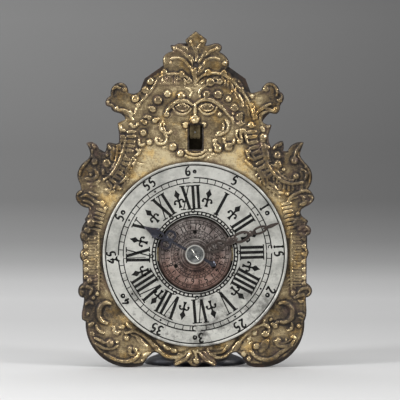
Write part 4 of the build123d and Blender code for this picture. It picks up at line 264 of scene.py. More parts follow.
FOOT = [                    # the volutes, corner scrolls and hem
    ([(93, 67.6), (96, 70.4), (100, 71.6), (103.4, 70), (104, 66.8), (101.6, 65)], 0.9, 1.7),
    ([(90, 62.8), (93.4, 64.6), (97.4, 65.6)], 1.2, 1.3),
    ([(93.6, 60.4), (95.4, 59.2), (96.6, 60)], 0.9, 1.8),
    ([(76, 58), (80, 58.2), (84, 56.5), (86.6, 53), (87.6, 49), (86.8, 45), (84, 42), (80, 40.5),
      (77.4, 40.8)], 1.4, 2.6),
    ([(93.4, 48.2), (96, 47.8), (98.2, 46)], 1, 1.9),
    ([(93.8, 45), (97, 44.2)], 0.8, 1.4),
    ([(87, 40), (87.6, 37), (86, 34.5), (83.4, 33)], 0.8, 1.9),
    ([(57.5, 37.5), (61, 38.7), (64.5, 37.6), (66.9, 35), (66.6, 32)], 1, 2),
    ([(60.8, 30), (63.4, 28.9), (66, 29.8)], 1, 1.7),
    ([(71.8, 23.8), (74, 20.6), (78, 19), (82, 19), (86, 20.6), (89.2, 23.8)], 1, 1.6),
    ([(74.4, 23), (78, 21.7), (83, 22.8), (86, 24.6)], 0.6, 1),
    ([(88, 28.4), (90.6, 25.6)], 0.8, 1.2),
    ([(50.5, 14.6), (53, 11), (57, 8.5), (62, 7), (67, 7), (71, 8.5), (75, 11.5), (79, 14.6), (83, 17),
      (87.4, 20)], 1.1, 1.9),
    ([(59.5, 15.4), (62, 19), (64.6, 23.4)], 1.9, 1.2),
    ([(57, 37.6), (52, 36.2), (47, 32.6), (43, 28.5), (39.5, 23.5), (36, 17.5), (32, 12.4), (27, 9.3), (22, 8.6),
      (18, 9.6), (13.6, 12)], 1.4, 2.5),
    ([(41.4, 23), (38.6, 17.6), (35.6, 13.6)], 0.7, 1.2),
    ([(10, 18.6), (11, 15), (14, 13), (18, 12.7), (23, 13.2), (27, 15.6), (28, 19.4)], 0.8, 1.5),
    ([(4, 13.6), (7, 9.7), (11, 6.1), (15, 3.4), (17.6, 2)], 1.1, 2),
    ([(7.6, 14.6), (11, 10.4), (15, 7.2), (18.2, 5.4)], 1, 1.6),
    ([(2.4, 17), (0.8, 12.6), (1.2, 9.6)], 0.8, 1.3),
    ([(-94.6, 66), (-93, 70), (-96, 72.6), (-100, 73), (-103.4, 71)], 1, 1.8),
    ([(-102.4, 69), (-101.8, 65.8)], 1.3, 1.7),
    ([(-98.4, 57), (-95, 59), (-92.2, 57.4)], 1.1, 1.7),
    ([(-76, 57.8), (-80, 58), (-84, 55.8), (-86.2, 51), (-86.2, 46), (-83.6, 42), (-79.6, 39.8)], 1.4, 2.6),
    ([(-94.8, 38), (-91.8, 39.6)], 1.2, 1.7),
    ([(-88.8, 37.6), (-87.6, 34.5), (-85, 32), (-82.2, 30.9)], 0.9, 2.1),
    ([(-93.2, 31.4), (-91.4, 29)], 1, 1.3),
    ([(-67.4, 35.8), (-63.8, 37.2)], 1.1, 2.1),
    ([(-73.2, 36.4), (-72.6, 32.4), (-70.4, 30.4), (-68.2, 32)], 1, 1.6),
    ([(-60.4, 38.8), (-57, 36.8), (-53.6, 35)], 1.5, 1.7),
    ([(-62, 31), (-55, 32.6), (-50, 31.5), (-45, 28.5), (-40, 24), (-35.5, 18.5), (-31.5, 14), (-27, 10.6),
      (-22, 9), (-16, 9.2), (-10, 11)], 1.4, 2.5),
    ([(-57.4, 29.6), (-51.6, 27.6), (-47.4, 23), (-43.4, 18.6)], 0.8, 1.3),
    ([(-53, 27), (-49.6, 22.6), (-45.4, 19)], 0.6, 0.9),
    ([(-26.8, 19.2), (-23, 17.6)], 1.6, 2),
    ([(-20.6, 16), (-17.4, 14.6)], 1.3, 1.8),
    ([(-4, 18), (-6, 14.5), (-10, 12.6), (-15, 12.4)], 0.8, 1.3),
    ([(-90, 26.4), (-86, 24.6), (-82, 22.2), (-79.4, 22.2)], 0.9, 1.8),
    ([(-89, 21.4), (-84, 18), (-78, 16.6), (-73, 17.4), (-69.6, 19.6)], 0.8, 1.4),
    ([(-58.8, 17.6), (-58.2, 14.4)], 1.2, 1.9),
    ([(-54.8, 17), (-52.6, 14.4)], 1.2, 2.1),
    ([(-59.6, 13), (-56, 11.2), (-52.4, 12.2)], 0.9, 1.3),
    ([(-81, 12), (-75, 8.6), (-70, 6.1), (-65, 5), (-60, 5.5), (-55, 7.4), (-51.6, 10), (-50.4, 12.6)], 1.1, 1.9),
    ([(-46.4, 10.8), (-42.5, 12.6), (-39, 11.2), (-37.4, 9.4)], 0.9, 1.6),
    ([(-4, 13), (-7, 9.4), (-11, 6), (-15, 3.8), (-17.6, 2.4)], 1.1, 1.8),
    ([(-7.4, 14), (-11, 10), (-15, 7.2), (-18.2, 5.6)], 1, 1.5),
    ([(-1.2, 16), (0.2, 12.4)], 0.7, 1.1),
]
BEADS = [                   # x, z, radius and height
    (6.7, 293.7, 1.6, 1.7), (-4, 293.4, 1.8, 1.8), (19.6, 287.3, 1.7, 1.7), (-18, 287.4, 2, 1.9),
    (26.7, 273.4, 2.4, 1.9), (-22, 274.5, 1.3, 1.6), (11.8, 265.5, 3.2, 2.3), (26, 265.3, 2.9, 2.1),
    (-27.8, 265.4, 3.2, 2.3), (-12.2, 264, 3.2, 2.3), (13.8, 256.9, 3.9, 2.6), (22.4, 257.4, 2.9, 2.3),
    (-6, 257.2, 2, 1.9), (10.5, 245.7, 3.6, 2.5), (20.8, 245.5, 3.9, 2.6), (30, 241.6, 2.9, 2.1),
    (35.5, 234.6, 2.9, 2.1), (22.3, 228, 2.2, 2), (43.3, 251.5, 1.6, 1.7), (41, 249.4, 1.8, 1.8),
    (40.5, 257.7, 1.7, 1.7), (51.5, 244, 2.1, 1.8), (50.6, 236.1, 2.3, 1.8), (64.2, 250.5, 2.5, 1.9),
    (77, 241.7, 1.6, 1.7), (72.5, 233.3, 1.6, 1.7), (54.4, 225.5, 2.5, 2.1), (42, 228.3, 1.7, 1.7),
    (34, 228.3, 1.6, 1.7), (41.1, 220.6, 2.1, 1.8), (50.5, 218.4, 2.9, 2.1), (21, 211.1, 1.4, 1.6),
    (-22, 212.7, 1.4, 1.6), (-40, 257.7, 3.6, 2.5), (-44.8, 249.8, 3.5, 2.5), (-53.5, 241.9, 3.6, 2.5),
    (-51, 236.5, 2.3, 1.8), (-24.8, 246.2, 3.2, 2.3), (-12.3, 244.4, 3.8, 2.6), (-33.3, 240.4, 3.9, 2.6),
    (-40.6, 233.9, 1.6, 1.7), (-25.5, 228, 2.7, 2.1), (-63.5, 250, 1.9, 1.6), (-78.3, 239.1, 1.7, 1.7),
    (-70.3, 233.5, 1.8, 1.8), (-44.2, 225.7, 1.6, 1.7), (-47.4, 222.1, 1.7, 1.7), (-33.4, 223.5, 1.3, 1.6),
    (-57.6, 218.9, 1.7, 1.7), (-51.6, 218.9, 1.6, 1.7), (-46.5, 211.2, 3.3, 2.3), (-50.2, 205.1, 1.4, 1.6),
    (-19.8, 198.4, 3.6, 2.5), (-13.3, 192.9, 3.4, 2.4), (-28, 197.9, 1.3, 1.6), (18.7, 199.9, 2.4, 1.9),
    (14, 195.4, 1.4, 1.6), (18, 203.8, 2, 1.9), (39.5, 203.6, 2, 1.9), (43.2, 212.8, 2.6, 2), (48.1, 194.1, 2.6, 2),
    (48.6, 188.3, 1.7, 1.7), (60.4, 215.9, 1.6, 1.7), (67, 217.7, 1.3, 1.6), (61.4, 207.4, 3.4, 2.4),
    (65.7, 198, 2.1, 1.9), (74.4, 191.3, 3.4, 2.4), (74.6, 183.5, 3.3, 2.3), (80, 178.1, 1.7, 1.7),
    (89.5, 186.3, 3.5, 2.5), (99.5, 180, 1.3, 1.6), (102.4, 174.8, 1.2, 1.5), (91, 172.2, 2.8, 2.1),
    (83.5, 156.1, 1.7, 1.7), (105.4, 157, 1.2, 1.5), (92.6, 138.2, 2.1, 1.9), (99.2, 132.9, 1.3, 1.6),
    (97, 126.1, 1.7, 1.7), (101.2, 120.9, 1.4, 1.6), (88.4, 66.9, 2.7, 2.3), (68, 43, 1.8, 1.8),
    (61.2, 41.8, 2.1, 1.9), (69.6, 39, 2, 1.9), (74.2, 40.5, 1.7, 1.7), (63.2, 31, 2.6, 2), (53.7, 31.1, 2.7, 2.1),
    (48.6, 25.8, 2.1, 1.9), (55.2, 19, 3.1, 2.3), (43.9, 12.1, 2.7, 2.1), (48.6, 7.9, 2.3, 2.1), (75, 24.1, 2.9, 2.1),
    (82, 24.9, 1.3, 1.6), (87, 27.3, 1.3, 1.6), (1.2, 6, 2.9, 2.3), (-65.1, 206.2, 3.6, 2.5),
    (-67.6, 199.5, 1.7, 1.7), (-77.2, 198.3, 1.7, 1.7), (-79, 191.1, 1.6, 1.7), (-79.5, 184.1, 3.6, 2.5),
    (-90.4, 185.2, 3.1, 2.2), (-93.7, 173.6, 1.4, 1.6), (-83, 177.3, 1.3, 1.6), (-104.6, 157.1, 1.7, 1.7),
    (-94, 136.9, 1.7, 1.7), (-97.8, 130.3, 1.3, 1.6), (-95, 78.1, 2.9, 2.2), (-88, 66.2, 2.2, 2),
    (-91.4, 62.6, 2, 1.9), (-70.4, 162.9, 1.6, 1.7), (-82.8, 147.2, 2, 1.9), (-80.6, 143.1, 1.7, 1.7),
    (-65, 36.3, 1.8, 1.8), (-61.6, 26.5, 2.6, 2.2), (-24.6, 18.2, 2.3, 2.1), (-18.4, 15.2, 1.7, 1.7),
    (-76.7, 21.7, 3.9, 2.6), (-70, 22.6, 1.4, 1.6), (-42.4, 8.2, 2.2, 2), (-46, 4.8, 2.2, 2), (-96.6, 48.1, 1.6, 1.7),
    (-102.2, 117.1, 1.7, 1.7), (-96.4, 115.7, 1.6, 1.7), (-101.8, 100.9, 1.4, 1.6), (30.2, 198.6, 3.9, 2.7),
    (20.6, 196.9, 3.8, 2.7), (39.7, 225.5, 3.6, 2.6), (-38, 232.4, 3, 2.3), (-40.8, 224.8, 2.3, 1.9),
    (-45.2, 220.6, 2.4, 2), (-36, 222.4, 2.7, 2.1), (-41, 202.8, 2.7, 2.2), (61.1, 204.5, 2.8, 2.2),
    (-93.8, 130, 4.1, 2.8), (-99.5, 117.9, 3.1, 2.3), (-96.6, 123.7, 3.3, 2.4), (93.4, 37.4, 2.1, 1.8),
    (72, 37.7, 2.8, 2.2), (0, 223.2, 4.2, 3.4), (-8.2, 218.2, 3, 2.6), (7.9, 218.4, 2.7, 2.6),
]
BEADS += [(side * 98.2, z, 2.3, 1.4) for side in (1, -1) for z in (116, 109, 102, 95, 88, 81, 75)]
LADDERS = [                 # rows of gadroons: the row's points, half their length, their count and their height
    ([(50.6, 214), (51.4, 207), (52.8, 200), (55, 193.5), (58, 187), (61, 181), (64.4, 175.5),
      (68, 170)], 3.6, 10, 1),
    ([(-57.4, 214), (-57.4, 207), (-58.4, 200), (-60, 193)], 3, 5, 0.9),
    ([(-62, 190), (-64, 184), (-66.6, 178), (-70, 172), (-74, 166.6), (-79, 163)], 3.4, 7, 1),
    ([(82, 149), (83.6, 141), (85.4, 133), (87, 124)], 3.4, 7, 0.9),
    ([(-84, 143), (-86.6, 135), (-88, 128), (-89.5, 122)], 3.6, 6, 0.9),
    ([(-30, 259.6), (-22, 260.2), (-14.4, 259.8)], 3.2, 7, 0.8),
    ([(5.5, 258.5), (8, 256)], 2, 2, 0.6),
    ([(75, 163), (82, 161.6), (90, 162.4), (98, 162)], 2, 6, 0.7),
    ([(48, 24), (51, 21)], 2, 2, 0.7),
    ([(91.8, 119), (91.8, 72)], 3.4, 18, 0.5),
    ([(-91.8, 119), (-91.8, 72)], 3.4, 18, 0.5),
]
SWELLS = [                  # the broad forms under the strokes
    ([(0.5, 299), (1, 293), (0.8, 284)], 5, 1.2),
    ([(5, 277), (12, 285.5), (20, 288)], 4.2, 1.3),
    ([(-4, 277), (-11, 285.5), (-18, 288)], 4.2, 1.3),
    ([(7, 270), (15, 275.5), (26, 275)], 4.8, 1.5),
    ([(-6, 270), (-14, 275.5), (-25, 276)], 4.8, 1.5),
    ([(12, 258), (22, 259), (31, 254), (38, 246)], 4.5, 1),
    ([(-12, 259), (-22, 260), (-31, 257)], 4.5, 0.9),
    ([(11, 234.2), (11.1, 234.2)], 5, 1.2),
    ([(-11.5, 234), (-11.6, 234)], 5, 1.2),
    ([(16, 224), (18, 218), (17, 210), (12, 205)], 7, 1.6),
    ([(-16, 224), (-18, 218), (-17, 210), (-12, 205)], 7, 1.6),
    ([(66, 246), (67, 245)], 9, 1.3),
    ([(-66, 245), (-67, 244)], 9, 1.3),
    ([(30, 246), (38, 238), (42, 228), (42, 216)], 7, 1),
    ([(-30, 246), (-38, 238), (-44, 228), (-45, 214)], 7, 1),
    ([(50.6, 214), (53, 200), (58, 187), (66, 173)], 5, 1.2),
    ([(-58, 214), (-59, 198), (-64, 184), (-73, 168)], 5, 1.2),
    ([(74.5, 200), (74.6, 190), (75, 180)], 4.2, 1.3),
    ([(-77, 199), (-79, 190), (-80, 179)], 4.2, 1.3),
    ([(92, 198), (90, 188), (92, 177)], 5, 1.1),
    ([(-92, 198), (-90, 188), (-92, 177)], 5, 1.1),
    ([(94, 175), (95, 174)], 8.5, 1.6),
    ([(-94, 175), (-95, 174)], 8.5, 1.6),
    ([(98, 151), (99, 151)], 7, 1.4),
    ([(-98, 152), (-99, 152)], 7, 1.4),
    ([(91, 137), (95, 130), (97, 122)], 5, 1.1),
    ([(-93, 137), (-96, 130), (-98, 121)], 5, 1.1),
    ([(74, 50), (74.4, 49)], 7.5, 2),
    ([(-72, 50), (-72.4, 49)], 8, 1.8),
    ([(20, 16.6), (24, 16.6)], 3.8, 1.7),
    ([(-19, 16.4), (-24, 17.4)], 3.8, 1.5),
    ([(60, 20), (68, 14), (78, 22)], 6, 1),
    ([(-58, 20), (-68, 13), (-78, 20)], 6, 1),
    ([(88, 60), (95, 50), (92, 38)], 6, 0.9),
    ([(-88, 60), (-95, 50), (-92, 38)], 6, 0.9),
    ([(97, 68), (100, 68)], 5, 1.2),
    ([(-97, 68), (-100, 68)], 5, 1.2),
]


# ------------------------------------------------------------------ chased sheet
def smooth_line(points, step=1.0):
    """A smooth line through the points, as an array of closely spaced ones."""
    given = np.array(points, float)
    if len(given) < 3:
        count = max(2, int(np.hypot(*(given[-1] - given[0])) / step))
        share = np.linspace(0, 1, count)[:, None]
        return given[0] * (1 - share) + given[-1] * share
    padded = np.vstack([2 * given[0] - given[1], given, 2 * given[-1] - given[-2]])
    line = []
    for a, b, c, d in zip(padded, padded[1:], padded[2:], padded[3:]):
        count = max(2, int(np.hypot(*(c - b)) / step))
        t = np.arange(count)[:, None] / count
        line.append(0.5 * (2 * b + (c - a) * t + (2 * a - 5 * b + 4 * c - d) * t ** 2
                           + (3 * b - a - 3 * c + d) * t ** 3))
    line.append(given[-1:])
    return np.vstack(line)


def cut_loops(node, level):
    """The closed edges of a flat face of a CAD node that lies at this y, as arrays of x and z, longest first."""
    mesh = bmesh.new()
    mesh.from_mesh(NODES[node].data)
    bmesh.ops.remove_doubles(mesh, verts=mesh.verts, dist=1e-6)
    flat = {f for f in mesh.faces
            if abs(abs(f.normal.y) - 1) < 1e-3 and abs(f.calc_center_median().y / MM - level) < 0.01}
    rim = [e for e in mesh.edges if sum(f in flat for f in e.link_faces) == 1]
    after = {}
    for edge in rim:
        for vert in edge.verts:
            after.setdefault(vert, []).append(edge)
    loops = []
    unused = set(rim)
    while unused:
        edge = unused.pop()
        vert = edge.verts[0]
        loop = [vert]
        while edge is not None:
            vert = edge.other_vert(vert)
            loop.append(vert)
            edge = next((e for e in after[vert] if e in unused), None)
            unused.discard(edge)
        loops.append(np.array([(v.co.x / MM, v.co.z / MM) for v in loop[:-1]]))
    mesh.free()
    return sorted(loops, key=lambda loop: -len(loop) * np.ptp(loop[:, 0]))


def nearest_on(loop, spots):
    """For each spot: its distance from a closed loop, and the nearest point on it."""
    best = np.full(len(spots), 1e9)
    place = np.zeros_like(spots)
    for a, b in zip(loop, np.roll(loop, -1, axis=0)):
        run = b - a
        length = run @ run
        if length < 1e-9:
            continue
        share = np.clip(((spots - a) @ run) / length, 0, 1)[:, None]
        foot = a + share * run
        gap = np.hypot(*(spots - foot).T)
        near = gap < best
        best[near] = gap[near]
        place[near] = foot[near]
    return best, place


def inside(loop, spots):
    hit = np.zeros(len(spots), bool)
    for (x0, z0), (x1, z1) in zip(loop, np.roll(loop, -1, axis=0)):
        if z0 == z1:
            continue
        crossed = (spots[:, 1] > min(z0, z1)) & (spots[:, 1] <= max(z0, z1))
        hit ^= crossed & (spots[:, 0] < x0 + (spots[:, 1] - z0) * (x1 - x0) / (z1 - z0))
    return hit


def spots_near(line, half, spots):
    """Which spots lie beside the line, and how far each of them is from each of its points."""
    low = line.min(axis=0) - 2 * half
    top = line.max(axis=0) + 2 * half
    near = np.nonzero(((spots > low) & (spots < top)).all(axis=1))[0]
    return near, np.hypot(spots[near, 0][:, None] - line[:, 0], spots[near, 1][:, None] - line[:, 1])


def from_dial(places):
    return np.hypot(places[:, 0] - DIAL_X, places[:, 1] - DIAL_Z)


def stroke_into(field, grooves, spots, line, half, high, taper=0.5, dome=False):
    """Raises a rounded ridge with a spreading foot along the line, or a dome. Its groove goes into grooves."""
    near, gaps = spots_near(line, half, spots)
    along = np.arange(len(line)) / max(1, len(line) - 1)
    width = half * (taper + (1 - taper) * np.sqrt(np.sin(np.pi * np.clip(along, 0.03, 0.97))))
    reach = (gaps / width).min(axis=1)
    if dome:
        ridge = high * np.sqrt(np.clip(1 - reach ** 2, 0, 1))
    else:
        ridge = high * (0.62 * np.clip(1 - reach ** 2, 0, 1) + 0.38 * np.clip(1 - (reach / SKIRT) ** 2, 0, 1) ** 2)
    field[near] = np.maximum(field[near], ridge)
    groove = np.clip(1 - np.abs(reach - 1.12) / 0.4, 0, 1)
    grooves[near] = np.maximum(grooves[near], groove)


def frills():
    """Small leaflets along both sides of the long scrolls."""
    rng = random.Random(3)
    leaflets = []
    for points, half, high in BANDS:
        line = smooth_line(points, 0.5)
        steps = int(len(line) * 0.5 / FRILL_STEP)
        for i in range(1, steps):
            k = int(i * FRILL_STEP / 0.5)
            ahead = line[min(k + 2, len(line) - 1)] - line[max(k - 2, 0)]
            ahead = ahead / max(np.hypot(*ahead), 1e-6)
            for side in (1, -1):
                across = np.array([-ahead[1], ahead[0]]) * side
                length = rng.uniform(1.8, 3.2)
                root = line[k] + across * (half + 0.6)
                tip = root + across * length * 0.75 + ahead * length * rng.uniform(0.3, 1.0)
                leaflets.append(([root, (root + tip) / 2 + across * 0.3, tip], rng.uniform(0.7, 1.0), 0.55 * high))
    return leaflets


def chased_heights(spots, edge_gap):
    """Height over the sheet's face at each spot."""
    swell = np.zeros(len(spots))
    for points, half, high in SWELLS:
        near, gaps = spots_near(smooth_line(points), half, spots)
        reach = gaps.min(axis=1) / half
        swell[near] = np.maximum(swell[near], high * np.clip(1 - (reach / 1.35) ** 2, 0, 1) ** 1.5)
    fine = np.zeros(len(spots))
    grooves = np.zeros(len(spots))
    for spread, groups in ((SPREAD, (CREST, ARCH, FACE, MANE)), (WIDE_SPREAD, (EARS, BANDS, LEAVES, FOOT))):
        for points, half, high in (stroke for group in groups for stroke in group):
            stroke_into(fine, grooves, spots, smooth_line(points, 0.6), half * spread, high)
    for points, half, high in frills():
        stroke_into(fine, grooves, spots, smooth_line(points, 0.5), half, high)
    for points, half_length, count, high in LADDERS:
        line = smooth_line(points, 0.5)
        half = GADROON * 0.5 * len(line) / count
        for i in range(count):
            at = (i + 0.5) / count * (len(line) - 1)
            here = line[int(at)]
            ahead = line[min(int(at) + 1, len(line) - 1)] - line[max(int(at) - 1, 0)]
            across = np.array([-ahead[1], ahead[0]]) / np.hypot(*ahead)
            rung = np.array([here - across * half_length, here, here + across * half_length])
            stroke_into(fine, grooves, spots, smooth_line(rung, 0.5), half, high, 0.8, dome=True)
    for x, z, radius, high in BEADS:
        stroke_into(fine, grooves, spots, np.array([(x, z), (x, z + 0.05)]), radius, high, 1.0, dome=True)
    rim = RIM_HEIGHT * np.exp(-((edge_gap - 1.5) / 0.8) ** 2)
    rng = np.random.default_rng(7)
    matting = rng.uniform(-1, 1, len(spots)) * np.clip(swell + fine - 0.25, 0, 1)
    height = 0.7 * swell + fine - GROOVE * grooves * (fine < 0.25) + rim + MATTING * matting
    height = RELIEF_TOP * np.tanh(np.clip(height, -0.3, 9) / RELIEF_TOP)
    fall = np.clip(edge_gap / 1.6, 0, 1)
    height *= fall * (2 - fall)
    rise = np.clip((from_dial(spots) - FLAT_R) / (RISE_R - FLAT_R), 0, 1)
    return height * rise * rise * (3 - 2 * rise)


def box_blur(sheet, reach):
    """The mean over a square of 2 * reach + 1 cells, along both sides."""
    for axis in (0, 1):
        padded = np.pad(sheet, [(reach + 1, reach) if a == axis else (0, 0) for a in (0, 1)], mode="edge")
        total = np.cumsum(padded, axis=axis)
        upper = np.take(total, range(2 * reach + 1, total.shape[axis]), axis=axis)
        lower = np.take(total, range(total.shape[axis] - 2 * reach - 1), axis=axis)
        sheet = (upper - lower) / (2 * reach + 1)
    return sheet


def gilding_wear(spots, sunk, busy, edge_gap, slot_gap):
    """How dark the gilding is made: worn least on what stands proud and most in the hollows, with painted shade at its
    edge, by the ring and round the mouth slot, and a painted sheen on the cheeks.
    """
    wear_and_painted_shade = FLAT_TONE + np.where(sunk > 0, SUNK_DARK, RAISED_LIGHT) * sunk
    wear_and_painted_shade += BUSY_DARK * np.clip((busy - BUSY_FROM) / BUSY_SPAN, 0, 1)
    # Painted shade along the sheet's turned edge.
    # Painted shadow round the mouth slot, fully dark at its edge.
    wear_and_painted_shade += EDGE_PAINTED_SHADE * np.exp(-(edge_gap / 0.9) ** 2) + np.exp(-(slot_gap / 1.5) ** 4)
    middle_x, middle_z, wide, tall = CHEEKS
    # The smooth cheeks made lighter: cleaner gilding, with a painted sheen.
    wear_and_painted_shade -= CHEEK_POLISH_AND_PAINTED_SHEEN * np.exp(-((spots[:, 0] - middle_x) / wide) ** 4 - ((spots[:, 1] - middle_z) / tall) ** 4)
    wear_and_painted_shade += OUTER_DARK * np.clip((np.abs(spots[:, 0]) - OUTER_FROM) / OUTER_SPAN, 0, 1)
    # Painted shadow beside the ring, and painted shade, fully dark, under it.
    wear_and_painted_shade += RING_PAINTED_SHADOW * np.exp(-((from_dial(spots) - RING_R) / 2.0) ** 2)
    wear_and_painted_shade[from_dial(spots) < RING_R] = 1.0
    return np.clip(wear_and_painted_shade, 0, 1)


def chased_sheet():
    """The gilt sheet with its chased work, cut to the CAD sheet's edge and holes."""
    outline, *holes = cut_loops("front_plate", BACK_OF_SHEET)
    covered = [h for h in holes if from_dial(h.mean(axis=0)[None])[0] <= HIDDEN_R]
    open_holes = [h for h in holes if from_dial(h.mean(axis=0)[None])[0] > HIDDEN_R]
    low = outline.min(axis=0) - CELL
    across, up = (np.ceil((outline.max(axis=0) - low) / CELL) + 1).astype(int)
    bpy.ops.object.select_all(action="DESELECT")
    bpy.ops.mesh.primitive_grid_add(x_subdivisions=int(across), y_subdivisions=int(up), size=1)
    sheet = bpy.context.object
    sheet.name = "chased_gilt_sheet"
    count = (across + 1) * (up + 1)
    index = np.arange(count)
    spots = np.column_stack([low[0] + (index % (across + 1)) * CELL, low[1] + (index // (across + 1)) * CELL])
    within = inside(outline, spots)
    for hole in open_holes:
        within &= ~inside(hole, spots)
    within &= from_dial(spots) > HIDDEN_R - 1.0
    slot_gap = np.full(count, 1e3)
    gap = nearest_on(outline, spots[within])[0]
    for hole in open_holes:
        hole_gap = nearest_on(hole, spots[within])[0]
        slot_gap[within] = np.minimum(slot_gap[within], hole_gap)
        gap = np.minimum(gap, hole_gap)
    edge_gap = np.zeros(count)
    edge_gap[within] = gap
    height = np.zeros(count)
    height[within] = chased_heights(spots[within], gap)
    square = height.reshape(up + 1, across + 1)
    weight = within.reshape(up + 1, across + 1).astype(float)
    soft = box_blur(square * weight, 1) / np.maximum(box_blur(weight, 1), 1e-6)
    hammered = box_blur(box_blur(np.random.default_rng(9).normal(size=square.shape), 2), 2)
    square = (0.5 * square + 0.5 * soft) * (1 + HAMMERED * hammered / hammered.std())
    around = box_blur(square * weight, 4) / np.maximum(box_blur(weight, 4), 1e-6)
    busy = box_blur(np.abs(square) * weight, 11) / np.maximum(box_blur(weight, 11), 1e-6)
    wear_and_painted_shade = gilding_wear(spots, (around - square).ravel(), busy.ravel(), edge_gap, slot_gap)
    place = np.column_stack([spots[:, 0], SHEET_FACE - square.ravel(), spots[:, 1]]) * MM
    sheet.data.vertices.foreach_set("co", place.ravel())
    sheet.data.attributes.new("wear_and_painted_shade", "FLOAT", "POINT").data.foreach_set("value", wear_and_painted_shade)

    mesh = bmesh.new()
    mesh.from_mesh(sheet.data)
    mesh.verts.ensure_lookup_table()
    bmesh.ops.delete(mesh, geom=[v for v, keep in zip(mesh.verts, within) if not keep], context="VERTS")
    bmesh.ops.delete(mesh, geom=[v for v in mesh.verts if len(v.link_faces) == 0], context="VERTS")
    border = [v for v in mesh.verts if v.is_boundary]
    at = np.array([(v.co.x, v.co.z) for v in border]) / MM
    gap, foot = nearest_on(outline, at)
    for hole in open_holes:
        hole_gap, hole_foot = nearest_on(hole, at)
        near = hole_gap < gap
        gap[near] = hole_gap[near]
        foot[near] = hole_foot[near]
    for vert, own_gap, own_foot, reach in zip(border, gap, foot, from_dial(at)):
        if own_gap < 2 * CELL and reach > HIDDEN_R + 1:
            vert.co = Vector((own_foot[0], SHEET_FACE, own_foot[1])) * MM
        elif reach < HIDDEN_R + 1:
            vert.co.y = SHEET_FACE * MM
    outer = [e for e in mesh.edges if e.is_boundary
             and math.hypot(e.verts[0].co.x / MM - DIAL_X, e.verts[0].co.z / MM - DIAL_Z) > HIDDEN_R + 1]
    inner = [e for e in mesh.edges if e.is_boundary and e not in set(outer)]
    walls = bmesh.ops.extrude_edge_only(mesh, edges=outer)["geom"]
    for vert in walls:
        if isinstance(vert, bmesh.types.BMVert):
            vert.co.y = BACK_OF_SHEET * MM
    back = [e for e in walls if isinstance(e, bmesh.types.BMEdge) and e.is_boundary]
    for hole in covered:
        front_ring = [mesh.verts.new(Vector((x, SHEET_FACE, z)) * MM) for x, z in hole]
        back_ring = [mesh.verts.new(Vector((x, BACK_OF_SHEET, z)) * MM) for x, z in hole]
        for i in range(len(hole)):
            mesh.faces.new((front_ring[i - 1], front_ring[i], back_ring[i], back_ring[i - 1]))
        for ring, found in ((front_ring, inner), (back_ring, back)):
            found.extend(mesh.edges.get((ring[i - 1], ring[i])) for i in range(len(hole)))
    for edges in (inner, back):
        bmesh.ops.triangle_fill(mesh, edges=edges, use_beauty=False)
    bmesh.ops.dissolve_degenerate(mesh, dist=1e-7, edges=mesh.edges)
    bmesh.ops.recalc_face_normals(mesh, faces=mesh.faces)
    mesh.to_mesh(sheet.data)
    mesh.free()
    bpy.ops.object.shade_smooth_by_angle(angle=math.radians(55))
    return sheet


# ------------------------------------------------------------------ engraving
def strip(points, widths, face):
    """A flat strip along points of x and z, in millimetres, on the plane at this y."""
    line = np.array(points, float)
    ahead = np.gradient(line, axis=0)
    side = np.column_stack([-ahead[:, 1], ahead[:, 0]]) / np.maximum(np.hypot(*ahead.T), 1e-9)[:, None]
    half = np.broadcast_to(np.asarray(widths, float), len(line))[:, None] / 2
    bpy.ops.mesh.primitive_grid_add(x_subdivisions=len(line) - 1, y_subdivisions=1, size=1)
    piece = bpy.context.object
    places = np.vstack([line + side * half, line - side * half])
    co = np.column_stack([places[:, 0], np.full(len(places), face), places[:, 1]]) * MM
    piece.data.vertices.foreach_set("co", co.ravel())
    return piece


def joined(name, pieces, thick):
    """One mesh from flat pieces, given a thickness from front to back."""
    bpy.ops.object.select_all(action="DESELECT")
    for piece in pieces:
        piece.select_set(True)
    bpy.context.view_layer.objects.active = pieces[0]
    bpy.ops.object.join()
    whole = bpy.context.object
    whole.name = name
    mesh = bmesh.new()
    mesh.from_mesh(whole.data)
    bmesh.ops.remove_doubles(mesh, verts=mesh.verts, dist=1e-7)
    for face in mesh.faces:
        face.normal_update()
        if face.normal.y > 0:
            face.normal_flip()
    mesh.to_mesh(whole.data)
    mesh.free()
    grown = whole.modifiers.new("thickness", "SOLIDIFY")
    grown.thickness = thick * MM
    grown.offset = -1
    bpy.ops.object.modifier_apply(modifier="thickness")
    return whole


def on_ring(angle, u, v):
    """A point at radius v and u to its side, with angle clockwise from twelve."""
    turned = math.radians(angle)
    return (DIAL_X + v * math.sin(turned) + u * math.cos(turned),
            DIAL_Z + v * math.cos(turned) - u * math.sin(turned))


def placed(angle, points):
    return [on_ring(angle, u, v) for u, v in points]


def circle_points(radius, count, start=0.0, centre=(DIAL_X, DIAL_Z)):
    turn = start + np.linspace(0, 2 * np.pi, count + 1)
    return np.column_stack([centre[0] + radius * np.sin(turn), centre[1] + radius * np.cos(turn)])


def ring_line(radius, width, face, centre=(DIAL_X, DIAL_Z), count=120):
    return strip(circle_points(radius, count, centre=centre), width, face)


ROMAN = ("XII", "I", "II", "III", "IIII", "V", "VI", "VII", "VIII", "IX", "X", "XI")
ROMAN_LOW = 40.4
ROMAN_HIGH = 62.0
THICK = 2.65
THIN = 1.05
SERIF = 2.4
# how far each hour's numeral stands off its place, in degrees
ROMAN_OFF = (-1.5, 0.3, -0.5, 0.5, 0.4, -0.6, -2.1, 0.6, -0.3, 1.5, 0.4, -0.4)


